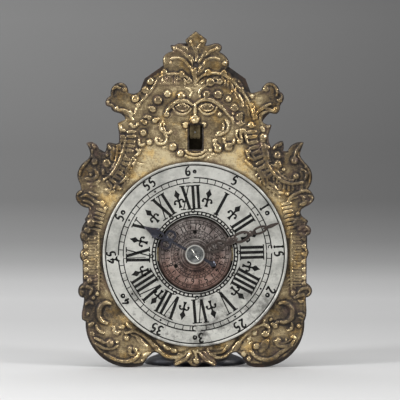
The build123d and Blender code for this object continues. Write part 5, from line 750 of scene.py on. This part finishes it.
def roman(angle, text, face):
    high = ROMAN_HIGH - ROMAN_LOW
    pitch = {"I": 4.5, "V": 8.8, "X": 8.6}
    total = sum(pitch[c] for c in text)
    at = -total / 2
    pieces = []

    def bar(points, width):
        pieces.append(strip([on_ring(angle, u, v + ROMAN_LOW) for u, v in points], width, face))

    def foot(u, v):
        bar([(u - SERIF, v), (u + SERIF, v)], THIN)

    top = high - 0.4
    for letter in text:
        mid = at + pitch[letter] / 2
        at += pitch[letter]
        if letter == "I":
            bar([(mid, 0.3), (mid + 0.1, high - 0.3)], THICK)
            foot(mid, 0.4)
            foot(mid, top)
        if letter == "V":
            bar([(mid - 3.1, high - 0.3), (mid, 0.3)], THICK)
            bar([(mid + 3.3, high - 0.3), (mid + 0.4, 0.3)], THIN)
            foot(mid - 3.2, top)
            foot(mid + 3.3, top)
        if letter == "X":
            bar([(mid - 2.9, high - 0.3), (mid + 2.9, 0.3)], THICK)
            bar([(mid + 2.9, high - 0.3), (mid - 2.9, 0.3)], THIN)
            for u, v in ((-2.9, top), (2.9, top), (-2.9, 0.4), (2.9, 0.4)):
                foot(mid + u, v)
    return pieces


# hand engraved figures, each a list of lines in a box one high
FIGURES = {
    "0": [[(0.16, 0.25), (0.02, 0.38), (0.1, 0.56), (0.28, 0.58), (0.36, 0.42), (0.28, 0.26), (0.16, 0.25)]],
    "1": [[(0.2, 0.05), (0.2, 0.95)], [(0.04, 0.05), (0.36, 0.05)], [(0.06, 0.94), (0.34, 0.94)]],
    "2": [[(0.02, 0.74), (0.12, 0.94), (0.34, 0.96), (0.44, 0.78), (0.34, 0.5), (0.12, 0.2), (0.0, 0.04)],
          [(0.0, 0.05), (0.2, 0.1), (0.5, 0.02)]],
    "3": [[(0.0, 0.86), (0.18, 0.98), (0.4, 0.9), (0.38, 0.66), (0.16, 0.54)],
          [(0.16, 0.54), (0.42, 0.46), (0.46, 0.2), (0.26, 0.02), (0.0, 0.1)]],
    "4": [[(0.5, 0.38), (0.0, 0.36), (0.3, 0.96)], [(0.34, 0.62), (0.32, 0.02)]],
    "5": [[(0.44, 0.96), (0.14, 0.92), (0.08, 0.56), (0.34, 0.56), (0.44, 0.3), (0.3, 0.06), (0.02, 0.04)]],
    "6": [[(0.42, 0.98), (0.16, 0.84), (0.02, 0.48), (0.06, 0.14), (0.26, 0.02), (0.42, 0.2), (0.34, 0.46),
           (0.06, 0.38)]],
    "7": [[(0.0, 0.9), (0.2, 0.98), (0.46, 0.94), (0.28, 0.5), (0.2, 0.02)]],
    "8": [[(0.24, 0.54), (0.04, 0.72), (0.12, 0.94), (0.34, 0.94), (0.42, 0.74), (0.24, 0.54), (0.02, 0.28),
           (0.12, 0.04), (0.36, 0.04), (0.46, 0.28), (0.24, 0.54)]],
    "9": [[(0.4, 0.6), (0.2, 0.52), (0.04, 0.7), (0.16, 0.94), (0.38, 0.9), (0.42, 0.6), (0.34, 0.26), (0.1, 0.02)]],
}
FIGURE_STEP = 0.62


def figures(angle, text, radius, high, width, face, gap=0.0):
    """Figures that stand outwards on the dial, with their middle at this radius."""
    total = len(text) * FIGURE_STEP * high + gap * (len(text) - 1)
    pieces = []
    for i, letter in enumerate(text):
        left = -total / 2 + i * (FIGURE_STEP * high + gap) + 0.08 * high
        for line in FIGURES[letter]:
            points = smooth_line([(left + u * high, radius - high / 2 + v * high) for u, v in line], 0.35)
            share = np.linspace(0, 1, len(points))
            widths = width * (0.75 + 0.5 * np.sin(np.pi * share))
            pieces.append(strip(placed(angle, points), widths, face))
    return pieces


def filled_disc(x, z, radius, face):
    level = np.linspace(-1, 1, 17)
    widths = 2 * radius * np.sqrt(np.clip(1 - level ** 2, 0.0004, 1))
    return strip(np.column_stack([np.full(17, x), z + radius * level]), widths, face)


def half_hour_mark(angle, face):
    """A small flower on a stem between two hours."""
    lines = [
        ([(0, 45.2), (0.1, 48), (0, 53.4)], 1.7),
        ([(-4.1, 48.6), (-3.6, 50.2), (-1.9, 50.7), (0, 49.4)], 1.5),
        ([(4.1, 48.6), (3.6, 50.2), (1.9, 50.7), (0, 49.4)], 1.5),
    ]
    pieces = [strip(placed(angle, smooth_line(points, 0.5)), width, face) for points, width in lines]
    diamond = [(0, 52.2, 0.6), (0, 53.4, 2.6), (0, 55.6, 5.4), (0, 57.8, 2.4), (0, 60.2, 0.2)]
    club = [(0, 43.6, 3.4), (0, 45.0, 2.6), (0, 46.4, 1.4)]
    for shape in (diamond, club):
        pieces.append(strip([on_ring(angle, u, v) for u, v, _ in shape], [w for _, _, w in shape], face))
    for side in (-1, 1):
        x, z = on_ring(angle, side * 3.9, 48.3)
        pieces.append(filled_disc(x, z, 1.15, face))
    return pieces


MINUTE_TRACK = (64.4, 68.8)
QUARTER_TRACK = (35.6, 38.4)
EDGE_LINE_R = 80.2
FIGURE_R = 75.2             # the middle of the minute figures
FIGURE_HIGH = 8.2
FIGURE_WIDTH = 1.5
ENGRAVED = 0.06             # how thick the wax is that fills the lines
DISC_LINES = (10.2, 12.6, 14.5, 19.0, 21.6, 27.6, 30.6)
DISC_FIGURE_R = 24.7


def ring_engraving():
    face = RING_FACE - 0.03
    rng = random.Random(5)
    pieces = [ring_line(MINUTE_TRACK[0], 0.9, face), ring_line(MINUTE_TRACK[1], 1.15, face)]
    pieces += [ring_line(QUARTER_TRACK[1], 1.1, face), ring_line(QUARTER_TRACK[0], 1.3, face)]
    pieces.append(ring_line(EDGE_LINE_R, 1.1, face, count=160))
    for minute in range(60):
        angle = minute * 6 + DIAL_TURN + rng.uniform(-0.35, 0.35)
        x, z = on_ring(angle, 0, sum(MINUTE_TRACK) / 2)
        if minute % 5:
            pieces.append(strip(placed(angle, [(0, MINUTE_TRACK[0]), (0, MINUTE_TRACK[1])]), 0.75, face))
        else:
            pieces.append(filled_disc(x, z, 0.95, face))
    for quarter in range(60):
        angle = quarter * 6 + DIAL_TURN
        x, z = on_ring(angle, 0, QUARTER_TRACK[1] + 0.4)
        if quarter % 5:
            pieces.append(strip(placed(angle, [(0, QUARTER_TRACK[0]), (0, QUARTER_TRACK[1])]), 1.4, face))
        else:
            pieces.append(ring_line(1.5, 0.85, face, (x, z), 14))
    for hour, text in enumerate(ROMAN):
        pieces += roman(hour * 30 + DIAL_TURN + ROMAN_OFF[hour], text, face)
        pieces += half_hour_mark(hour * 30 + 15 + DIAL_TURN + rng.uniform(-1.0, 1.0), face)
    for step in range(1, 12):
        angle = step * 30 + DIAL_TURN + rng.uniform(-0.8, 0.8)
        pieces += figures(angle, str(step * 5), FIGURE_R, FIGURE_HIGH, FIGURE_WIDTH, face, 0.9)
    pieces += figures(DIAL_TURN - 2.4, "6", FIGURE_R, FIGURE_HIGH, FIGURE_WIDTH, face)
    pieces += figures(DIAL_TURN + 2.4, "0", 74.6, 6.0, FIGURE_WIDTH, face)
    pieces.append(ring_line(1.7, 0.9, face, (67.5, 108.5), 16))
    pieces.append(strip([(-69.0, 98.0), (-44.0, 99.4)], 0.6, face))
    return joined("ring_engraving", pieces, ENGRAVED)


def ring_spots():
    """The small round markers at twelve, six and nine."""
    face = RING_FACE - 0.05
    pieces = [filled_disc(*spot, face) for spot in ((-69.0, 98.0, 2.6), (-2.5, 168.0, 1.8))]
    pieces.append(ring_line(2.2, 1.2, face, (0.0, 35.5), 24))
    return joined("ring_markers", pieces, 0.1)


def disc_engraving():
    face = DISC_FACE - 0.03
    rng = random.Random(11)
    pieces = [ring_line(radius, 0.5, face, count=72) for radius in DISC_LINES]
    for hour in range(12):
        angle = hour * 30 + 6 + rng.uniform(-1.5, 1.5)
        pieces += figures(angle, str(hour or 12), DISC_FIGURE_R, 4.8, 0.75, face, 0.2)
        pieces.append(strip(placed(angle + 15, [(0, 22.4), (0, 27.0)]), 0.7, face))
        curl = smooth_line([(-1.6, 26.6), (-2.4, 24.6), (-0.6, 23.4), (0.8, 25.0)], 0.4)
        pieces.append(strip(placed(angle + 15, curl), 0.5, face))
    for mark in range(48):
        for turned, low, high, width in ((0, 5, 6, 0.55), (3, 3, 4, 0.5)):
            line = [(0, DISC_LINES[low]), (0, DISC_LINES[high])]
            pieces.append(strip(placed(mark * 7.5 + turned, line), width, face))
    for leaf in range(24):
        for side in (-1, 1):
            points = smooth_line([(side * -1.2, 15.0), (side * 0.5, 16.4), (side * -0.4, 18.5)], 0.5)
            pieces.append(strip(placed(leaf * 15 + side * 2, points), 0.5, face))
    return joined("disc_engraving", pieces, ENGRAVED)


# ------------------------------------------------------------------ hands
HUB_R = 9.5                 # inside this a hand keeps its exact size
HAND_GROWN = (0.15, 0.45)   # how far the forged bars stand out over the sawn ones, in front and at the back


def forged_hand(node):
    """The hand with bars that grow wider to the back, as filing leaves them. Its hub keeps its exact size."""

    def on_bar(vert):
        return math.hypot(vert.co.x / MM - DIAL_X, vert.co.z / MM - DIAL_Z) > HUB_R

    bpy.ops.object.select_all(action="DESELECT")
    bpy.ops.mesh.primitive_grid_add(x_subdivisions=1, y_subdivisions=1, size=1)
    hand = bpy.context.object
    hand.name = "forged_" + node
    mesh = bmesh.new()
    mesh.from_mesh(NODES[node].data)
    bmesh.ops.remove_doubles(mesh, verts=mesh.verts, dist=1e-7)
    bmesh.ops.recalc_face_normals(mesh, faces=mesh.faces)
    mesh.normal_update()
    depth = [v.co.y for v in mesh.verts if on_bar(v)]
    middle = (min(depth) + max(depth)) / 2
    moves = []
    for vert in filter(on_bar, mesh.verts):
        out = Vector((vert.normal.x, 0, vert.normal.z))
        if out.length > 0.1:
            moves.append((vert, out.normalized() * HAND_GROWN[vert.co.y > middle] * MM))
    for vert, move in moves:
        vert.co += move
    mesh.to_mesh(hand.data)
    mesh.free()
    bpy.ops.object.shade_smooth_by_angle(angle=math.radians(40))
    return hand


# ------------------------------------------------------------------ finishes
class Mixer:
    """Adds nodes to one shader tree. Every pattern is read at the same place."""

    def __init__(self, tree, place):
        self.tree = tree
        self.place = place

    def node(self, kind, **values):
        made = self.tree.nodes.new(kind)
        for key, value in values.items():
            setattr(made, key, value)
        return made

    def feed(self, value, socket):
        if isinstance(value, tuple):
            socket.default_value = (*value, 1)
        elif isinstance(value, (int, float)):
            socket.default_value = value
        else:
            self.tree.links.new(value, socket)

    def noise(self, scale, detail=4.0, rough=0.55, place=None):
        made = self.node("ShaderNodeTexNoise")
        made.inputs["Scale"].default_value = scale
        made.inputs["Detail"].default_value = detail
        made.inputs["Roughness"].default_value = rough
        self.feed(place or self.place, made.inputs["Vector"])
        return made.outputs["Fac"]

    def cells(self, scale, place=None):
        made = self.node("ShaderNodeTexVoronoi")
        made.inputs["Scale"].default_value = scale
        self.feed(place or self.place, made.inputs["Vector"])
        return made.outputs["Distance"]

    def scaled(self, factor):
        made = self.node("ShaderNodeVectorMath", operation="SCALE")
        self.feed(self.place, made.inputs[0])
        self.feed(factor, made.inputs["Scale"])
        return made.outputs[0]

    def stretched(self, factors):
        made = self.node("ShaderNodeMapping")
        made.inputs["Scale"].default_value = factors
        self.feed(self.place, made.inputs["Vector"])
        return made.outputs["Vector"]

    def ramp(self, source, stops):
        made = self.node("ShaderNodeValToRGB")
        elements = made.color_ramp.elements
        while len(elements) < len(stops):
            elements.new(0.5)
        for element, (at, value) in zip(elements, stops):
            element.position = at
            element.color = (*value, 1) if isinstance(value, tuple) else (value, value, value, 1)
        self.feed(source, made.inputs["Fac"])
        return made.outputs["Color"]

    def mix(self, share, first, second, blend="MIX"):
        made = self.node("ShaderNodeMix", data_type="RGBA", blend_type=blend)
        for value, socket in ((share, made.inputs["Factor"]), (first, made.inputs[6]), (second, made.inputs[7])):
            self.feed(value, socket)
        return made.outputs[2]

    def sum(self, operation, first, second):
        made = self.node("ShaderNodeMath", operation=operation)
        self.feed(first, made.inputs[0])
        self.feed(second, made.inputs[1])
        return made.outputs[0]

    def plus(self, value, source, amount, middle=0.5):
        """The value moved up and down by a pattern."""
        return self.sum("ADD", value, self.sum("MULTIPLY", self.sum("SUBTRACT", source, middle), amount))

    def use(self, group, **values):
        made = self.node("ShaderNodeGroup", node_tree=group)
        self.feed(self.place, made.inputs["Place"])
        for key, value in values.items():
            self.feed(value, made.inputs[key])
        return made.outputs[0]


def effect(name, dial, draw):
    """A pattern that several finishes share: one group, with a place and one dial to set it."""
    tree = bpy.data.node_groups.new(name, "ShaderNodeTree")
    tree.interface.new_socket(name="Place", in_out="INPUT", socket_type="NodeSocketVector")
    tree.interface.new_socket(name=dial, in_out="INPUT", socket_type="NodeSocketFloat")
    tree.interface.new_socket(name="Fac", in_out="OUTPUT", socket_type="NodeSocketFloat")
    entry = tree.nodes.new("NodeGroupInput")
    exit_node = tree.nodes.new("NodeGroupOutput")
    mixer = Mixer(tree, entry.outputs["Place"])
    mixer.feed(draw(mixer, entry.outputs[dial]), exit_node.inputs["Fac"])
    return tree


def draw_clouds(mixer, scale):
    place = mixer.scaled(scale)
    return mixer.plus(mixer.noise(1.0, 6, 0.62, place), mixer.noise(5.3, 3, 0.6, place), 0.35)


def draw_tarnish(mixer, amount):
    stain = mixer.ramp(mixer.noise(48, 7, 0.72), [(0.50, 0.0), (0.64, 1.0)])
    specks = mixer.ramp(mixer.noise(210, 5, 0.7), [(0.56, 0.0), (0.68, 1.0)])
    return mixer.sum("MULTIPLY", mixer.sum("MAXIMUM", stain, mixer.sum("MULTIPLY", specks, 0.8)), amount)


def draw_brushing(mixer, lines):
    """Fine level streaks left by the brush and the scraper."""
    long_lines = mixer.noise(1.0, 4, 0.7, mixer.stretched((55, 55, 900)))
    short_lines = mixer.noise(1.0, 3, 0.6, mixer.stretched((260, 260, 1900)))
    return mixer.sum("MULTIPLY", mixer.sum("ADD", long_lines, short_lines), lines)


def draw_working(mixer, scale):
    """Height of hammer marks, file marks and small pits."""
    place = mixer.scaled(scale)
    pits = mixer.ramp(mixer.cells(1.3, place), [(0.05, 0.0), (0.4, 1.0)])
    return mixer.plus(mixer.noise(1.0, 4, 0.6, place), pits, 0.3)


CLOUDS = effect("clouded_colour", "Scale", draw_clouds)
TARNISH = effect("tarnish", "Amount", draw_tarnish)
BRUSHING = effect("brushed_grain", "Lines", draw_brushing)
WORKING = effect("worked_surface", "Scale", draw_working)


class Finish(Mixer):
    """A material as it is mixed: one shader, and what changes over the surface."""

    def __init__(self, name, metallic, roughness, specular=0.5):
        self.material = bpy.data.materials.new(name)
        self.material.use_nodes = True
        super().__init__(self.material.node_tree, None)
        self.shader = self.tree.nodes["Principled BSDF"]
        self.shader.inputs["Metallic"].default_value = metallic
        self.shader.inputs["Roughness"].default_value = roughness
        self.shader.inputs["Specular IOR Level"].default_value = specular
        self.place = self.node("ShaderNodeTexCoord").outputs["Object"]

    def from_axis(self, level, radius):
        """How far out from the dial's axis a spot on the plane at this y lies, with 1 at the radius."""
        reach = self.node("ShaderNodeVectorMath", operation="DISTANCE")
        self.feed(self.place, reach.inputs[0])
        reach.inputs[1].default_value = (DIAL_X * MM, level * MM, DIAL_Z * MM)
        return self.sum("DIVIDE", reach.outputs["Value"], radius * MM)

    def own(self, name):
        """What the piece's own attribute holds."""
        return self.node("ShaderNodeAttribute", attribute_name=name).outputs["Fac"]

    def colour(self, source):
        self.feed(source, self.shader.inputs["Base Color"])

    def rough(self, source):
        self.feed(source, self.shader.inputs["Roughness"])

    def metal(self, source):
        self.feed(source, self.shader.inputs["Metallic"])

    def bump(self, source, distance, strength=1.0):
        made = self.node("ShaderNodeBump")
        made.inputs["Distance"].default_value = distance
        made.inputs["Strength"].default_value = strength
        self.feed(source, made.inputs["Height"])
        self.feed(made.outputs["Normal"], self.shader.inputs["Normal"])


def gilt_finish():
    made = Finish("worn_gilding_and_painted_shade", 0.9, 0.4)
    wear_and_painted_shade = made.plus(made.own("wear_and_painted_shade"), made.use(CLOUDS, Scale=45.0), 0.75)
    wear_and_painted_shade = made.plus(wear_and_painted_shade, made.use(BRUSHING, Lines=0.5), 0.5)
    wear_and_painted_shade = made.plus(wear_and_painted_shade, made.noise(330, 3, 0.7), 0.5)
    wear_and_painted_shade = made.plus(wear_and_painted_shade, made.noise(900, 2, 0.6), 0.45)
    gold = made.ramp(wear_and_painted_shade, [(0.12, (0.80, 0.67, 0.41)), (0.30, (0.68, 0.54, 0.31)),
                            (0.48, (0.42, 0.32, 0.18)), (0.64, (0.22, 0.165, 0.095)),
                            (0.80, (0.09, 0.068, 0.048)), (0.96, (0.03, 0.025, 0.022))])
    patch = made.use(CLOUDS, Scale=62.0)
    deeper = made.mix(1.0, gold, (1.1, 0.9, 0.55), "MULTIPLY")
    rich = made.mix(made.ramp(patch, [(0.34, 0.75), (0.48, 0.0)]), gold, deeper)
    made.colour(made.mix(made.ramp(patch, [(0.54, 0.0), (0.72, 0.5)]), rich, (0.20, 0.125, 0.095)))
    made.rough(made.ramp(wear_and_painted_shade, [(0.3, 0.24), (0.55, 0.27), (0.85, 0.55)]))
    made.metal(made.ramp(wear_and_painted_shade, [(0.2, 0.45), (0.48, 0.85), (0.85, 0.6)]))
    made.bump(made.use(WORKING, Scale=330.0), 0.0003, 0.5)
    return made.material


def silvered_finish():
    made = Finish("silvered_brass", 0.55, 0.5)
    cloud = made.plus(made.use(CLOUDS, Scale=26.0), made.use(BRUSHING, Lines=0.5), 0.25)
    base = made.ramp(cloud, [(0.3, (0.40, 0.40, 0.37)), (0.5, (0.64, 0.635, 0.585)), (0.72, (0.78, 0.775, 0.72))])
    # Tarnish stains, laid on more heavily lower down as painted shade: the ring darker towards the bottom, away from
    # the top light.
    height = made.node("ShaderNodeSeparateXYZ")
    made.feed(made.place, height.inputs[0])
    amount = made.ramp(height.outputs["Z"], [(0.025, 0.95), (0.06, 0.75), (0.11, 0.32)])
    made.colour(made.mix(made.use(TARNISH, Amount=amount), base, (0.10, 0.097, 0.088)))
    made.rough(made.ramp(cloud, [(0.3, 0.62), (0.7, 0.42)]))
    made.bump(made.use(WORKING, Scale=420.0), 0.00012, 0.5)
    return made.material


def copper_finish():
    """Turned copper: redder below, greyer above, with dirt in rings and a painted shadow at the rim."""
    made = Finish("dark_copper", 0.7, 0.42)
    split = made.node("ShaderNodeSeparateXYZ")
    made.feed(made.place, split.inputs[0])
    share = made.from_axis(DISC_FACE, RING_BORE)
    cloud = made.use(CLOUDS, Scale=120.0)
    grey = made.ramp(cloud, [(0.32, (0.14, 0.11, 0.10)), (0.52, (0.33, 0.28, 0.26)), (0.7, (0.58, 0.52, 0.48))])
    red = made.ramp(cloud, [(0.32, (0.13, 0.075, 0.06)), (0.52, (0.34, 0.205, 0.165)), (0.7, (0.52, 0.36, 0.30))])
    lower = made.plus(split.outputs["Z"], made.noise(70), 0.03)
    body = made.mix(made.ramp(lower, [(0.088, 0.0), (0.108, 1.0)]), red, grey)
    # Dark rings of dirt, and towards the rim a painted shadow from the ring's bore.
    ring_dirt_and_painted_rim_shadow = made.ramp(made.plus(share, made.noise(260, 3), 0.03),
                     [(0.24, 0.45), (0.33, 0.7), (0.42, 0.95), (0.45, 0.35), (0.48, 0.95), (0.60, 0.8), (0.64, 1.0),
                      (0.80, 1.0), (0.83, 0.45), (0.86, 0.95), (0.90, 0.7), (0.95, 0.22)])
    made.colour(made.mix(1.0, made.mix(made.use(TARNISH, Amount=0.6), body, (0.05, 0.035, 0.035)), ring_dirt_and_painted_rim_shadow, "MULTIPLY"))
    made.rough(made.ramp(cloud, [(0.3, 0.55), (0.7, 0.3)]))
    made.bump(made.use(WORKING, Scale=700.0), 0.0002, 0.6)
    return made.material


def metal_finish(name, dark, light, stain, metallic, rough, scale=60.0, bump=0.0001):
    """Worked metal: clouded colour with stains, mottled polish and a worked surface."""
    made = Finish(name, metallic, rough)
    cloud = made.use(CLOUDS, Scale=scale)
    made.colour(made.mix(made.use(TARNISH, Amount=0.55), made.ramp(cloud, [(0.3, dark), (0.7, light)]), stain))
    made.rough(made.ramp(cloud, [(0.3, min(1.0, rough + 0.12)), (0.7, rough - 0.1)]))
    made.bump(made.use(WORKING, Scale=6 * scale), bump, 0.6)
    return made.material


FINISHES = {
    "backing_iron": ("hammered_iron", (0.016, 0.014, 0.013), (0.055, 0.045, 0.038), (0.09, 0.045, 0.025), 0.5, 0.6),
    "hand_iron": ("browned_iron", (0.035, 0.026, 0.024), (0.14, 0.115, 0.10), (0.07, 0.04, 0.035), 0.7, 0.34, 150.0),
    "blued_iron": ("blued_iron", (0.03, 0.034, 0.048), (0.095, 0.095, 0.115), (0.10, 0.06, 0.055), 0.8, 0.3, 150.0),
    "movement_brass": ("worked_brass", (0.46, 0.31, 0.13), (0.66, 0.49, 0.24), (0.20, 0.13, 0.06), 0.9, 0.38),
    "movement_iron": ("forged_iron", (0.05, 0.045, 0.042), (0.14, 0.125, 0.115), (0.11, 0.06, 0.035), 0.8, 0.48),
    "arbor_steel": ("turned_steel", (0.32, 0.32, 0.31), (0.52, 0.52, 0.50), (0.22, 0.19, 0.16), 0.95, 0.28, 140.0),
    "spring_steel": ("spring_steel", (0.05, 0.055, 0.075), (0.12, 0.13, 0.17), (0.07, 0.06, 0.06), 0.9, 0.3),
    "bell_metal": ("dark_bell_metal", (0.02, 0.021, 0.028), (0.06, 0.062, 0.075), (0.07, 0.06, 0.05), 0.8, 0.38),
}
finish = {slot: metal_finish(*values) for slot, values in FINISHES.items()}
finish["gilt_sheet"] = gilt_finish()
finish["silvered_ring"] = silvered_finish()
finish["copper_disc"] = copper_finish()
# The movement's front plate, seen only through the mouth slot, is painted nearly black as the shade in there.
brass_painted_dark_as_shade = metal_finish("brass_painted_dark_as_shade", (0.045, 0.036, 0.022), (0.11, 0.085, 0.05), (0.03, 0.024, 0.018), 0.8, 0.5)
patchy_brass = metal_finish("patchy_brass", (0.07, 0.052, 0.027), (0.46, 0.36, 0.19), (0.04, 0.032, 0.02), 0.85,
                            0.42, 150.0)
# The hand's pin is painted pale, standing in for the highlight along it.
pin_steel_painted_highlight = metal_finish("pale_steel_painted_highlight", (0.62, 0.60, 0.52), (0.88, 0.87, 0.80), (0.35, 0.32, 0.27), 0.9, 0.25, 140.0)


def collet_finish():
    """Dull steel, with a painted highlight round its rim."""
    made = Finish("grey_steel", 0.9, 0.3)
    # A pale band painted round the rim stands in for its highlight.
    rim = made.ramp(made.from_axis(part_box("hand_collet")[0][1] / MM, COLLET_R), [(0.84, 0.0), (0.90, 1.0)])
    cloud = made.ramp(made.use(CLOUDS, Scale=190.0), [(0.34, (0.06, 0.065, 0.065)), (0.62, (0.34, 0.35, 0.34))])
    made.colour(made.mix(rim, cloud, (0.72, 0.71, 0.66)))
    made.bump(made.use(WORKING, Scale=900.0), 0.0002, 0.6)
    return made.material


collet_steel = collet_finish()


def wax_finish():
    made = Finish("black_wax", 0.0, 0.8, 0.2)
    made.colour(made.ramp(made.use(CLOUDS, Scale=200.0), [(0.4, (0.006, 0.006, 0.006)), (0.8, (0.028, 0.026, 0.024))]))
    made.bump(made.use(WORKING, Scale=600.0), 0.00005, 0.5)
    return made.material


def dressed(piece, slot, body, material=None, replaced=()):
    """Gives a finished piece its material, picked by its slot unless one is given, and the body that it rides on."""
    piece.data.materials.clear()
    piece.data.materials.append(material or finish[slot])
    if replaced:
        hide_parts(*replaced)
    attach(piece, body)


wax = wax_finish()
dressed(chased_sheet(), "gilt_sheet", "case", replaced=["front_plate"])
dressed(ring_engraving(), "silvered_ring", "case", wax)
dressed(ring_spots(), "silvered_ring", "case", wax)
dressed(disc_engraving(), "copper_disc", "alarm_setting", wax)

dressed(forged_hand("minute_hand"), "hand_iron", "hands", replaced=["minute_hand"])
dressed(forged_hand("hour_hand"), "blued_iron", "hour", replaced=["hour_hand"])

SLOT_OF = {
    "gilt_sheet": ["front_plate"],
    "backing_iron": ["backing_plate"],
    "silvered_ring": ["chapter_ring", "chapter_ring_rivets"],
    "copper_disc": ["alarm_disc"],
    "hand_iron": ["crest_rivet", "minute_hand"],
    "blued_iron": ["hour_hand"],
    "movement_iron": ["alarm_cam", "dial_feet", "pendulum_rod", "going_ratchet_wheel", "going_click",
                      "alarm_ratchet_wheel", "alarm_click", "alarm_verge_cocks", "alarm_hammer", "alarm_detent",
                      "bell_bar", "bell_stud", "bell_nut"],
    "arbor_steel": ["hand_collet", "hand_pin", "centre_arbor", "cannon_pinion", "pillar_pins", "plate_studs",
                    "third_arbor", "contrate_arbor", "crown_arbor", "verge", "going_barrel_arbor",
                    "alarm_barrel_arbor", "alarm_crown_arbor", "alarm_verge"],
    "spring_steel": ["going_mainspring", "alarm_mainspring"],
    "bell_metal": ["bell"],
}
own_finish = {"hand_collet": collet_steel, "hand_pin": pin_steel_painted_highlight, "movement_front_plate": brass_painted_dark_as_shade,
              "verge_front_cock": patchy_brass}
slot_of_node = {node: slot for slot, group in SLOT_OF.items() for node in group}
for name, cad_node in NODES.items():
    slot = slot_of_node.get(name, "movement_brass")
    cad_node.data.materials.clear()
    cad_node.data.materials.append(own_finish.get(name, finish[slot]))

# ------------------------------------------------------------------ room, lamps and camera
FRAME_WIDTH = 0.360         # what the camera sees across, at the front of the sheet
EYE = (0.0045, -0.0443, 0.15075)
EYE_DISTANCE = 1.8
SENSOR = 36.0
# the paper's tones, by how far along it from front to top: darker at the very front, and darker up the backdrop as
# painted light falloff
PAPER_PAINTED_FALLOFF = [(0.0, 0.28), (0.03, 0.67), (0.134, 0.60), (0.234, 0.58), (0.334, 0.64), (0.38, 0.545), (0.417, 0.38),
         (0.453, 0.285), (0.521, 0.197), (0.603, 0.20), (0.794, 0.262)]
PAPER_PAINTED_SIDE_SHADE = 0.5            # painted shade: how much darker the upper paper gets towards the right, for each metre


def room():
    """A pale floor that curves up, far behind, into a grey backdrop, its darkening painted as light falloff."""
    bpy.ops.object.select_all(action="DESELECT")
    bpy.ops.mesh.primitive_grid_add(x_subdivisions=1, y_subdivisions=40, size=1)
    sweep = bpy.context.object
    sweep.name = "paper_sweep"
    curve_start = 1.1
    radius = 1.4
    rows = [(-3.0, 0.0), (0.0, 0.0), (0.6, 0.0), (curve_start, 0.0)]
    rows += [(curve_start + radius * math.sin(t), radius * (1 - math.cos(t)))
             for t in np.linspace(0.04, math.pi / 2, 36)]
    rows.append((curve_start + radius, 3.4))
    places = [(x, y, z) for y, z in rows for x in (-4.0, 4.0)]
    sweep.data.vertices.foreach_set("co", np.array(places, float).ravel())
    bpy.ops.object.shade_smooth()
    made = Finish("grey_paper", 0.0, 0.95, 0.1)
    split = made.node("ShaderNodeSeparateXYZ")
    made.feed(made.place, split.inputs[0])
    x, y, z = split.outputs
    along = made.plus(made.plus(0.1, y, 0.2, 0.0), z, 0.5, 0.0)
    tilt = made.sum("MULTIPLY", x, made.ramp(z, [(0.0, 0.5), (0.12, 1.0)]))
    made.colour(made.mix(1.0, made.ramp(along, PAPER_PAINTED_FALLOFF), made.plus(1.0, tilt, -PAPER_PAINTED_SIDE_SHADE, 0.0), "MULTIPLY"))
    sweep.data.materials.append(made.material)


def lamp(name, at, aim, size, watts):
    """A soft box at a place, turned to its aim."""
    bpy.ops.object.light_add(type="AREA", location=at)
    made = bpy.context.object
    made.name = name
    made.data.shape = "RECTANGLE"
    made.data.size, made.data.size_y = size
    made.data.energy = watts
    made.rotation_euler = (Vector(aim) - Vector(at)).to_track_quat("-Z", "Y").to_euler()


room()
middle = (0.0, 0.0, 0.15)
lamp("left_box", (-1.0, -0.76, 0.68), middle, (0.3, 0.4), 11.0)
lamp("right_box", (1.0, -0.76, 0.68), middle, (0.3, 0.4), 7.4)
lamp("front_wall", (0.0, -2.35, 0.55), middle, (1.6, 1.2), 2.5)
lamp("top_box", (0.0, -0.5, 1.5), (0.0, 0.1, 0.0), (1.2, 0.6), 8)
lamp("floor_wash", (0.0, 1.1, 1.6), (0.0, 1.0, 0.0), (3.0, 0.8), 22)

world = bpy.data.worlds.new("studio")
bpy.context.scene.world = world
world.use_nodes = True
world.node_tree.nodes["Background"].inputs["Color"].default_value = (0.5, 0.5, 0.5, 1)
world.node_tree.nodes["Background"].inputs["Strength"].default_value = 0.28

bpy.ops.object.camera_add(location=(EYE[0], EYE[1] - EYE_DISTANCE, EYE[2]), rotation=(math.pi / 2, 0, 0))
camera = bpy.context.object
camera.data.sensor_width = SENSOR
camera.data.lens = SENSOR * EYE_DISTANCE / FRAME_WIDTH
camera.data.clip_end = 20
bpy.context.scene.camera = camera
bpy.context.scene.view_settings.view_transform = "Standard"
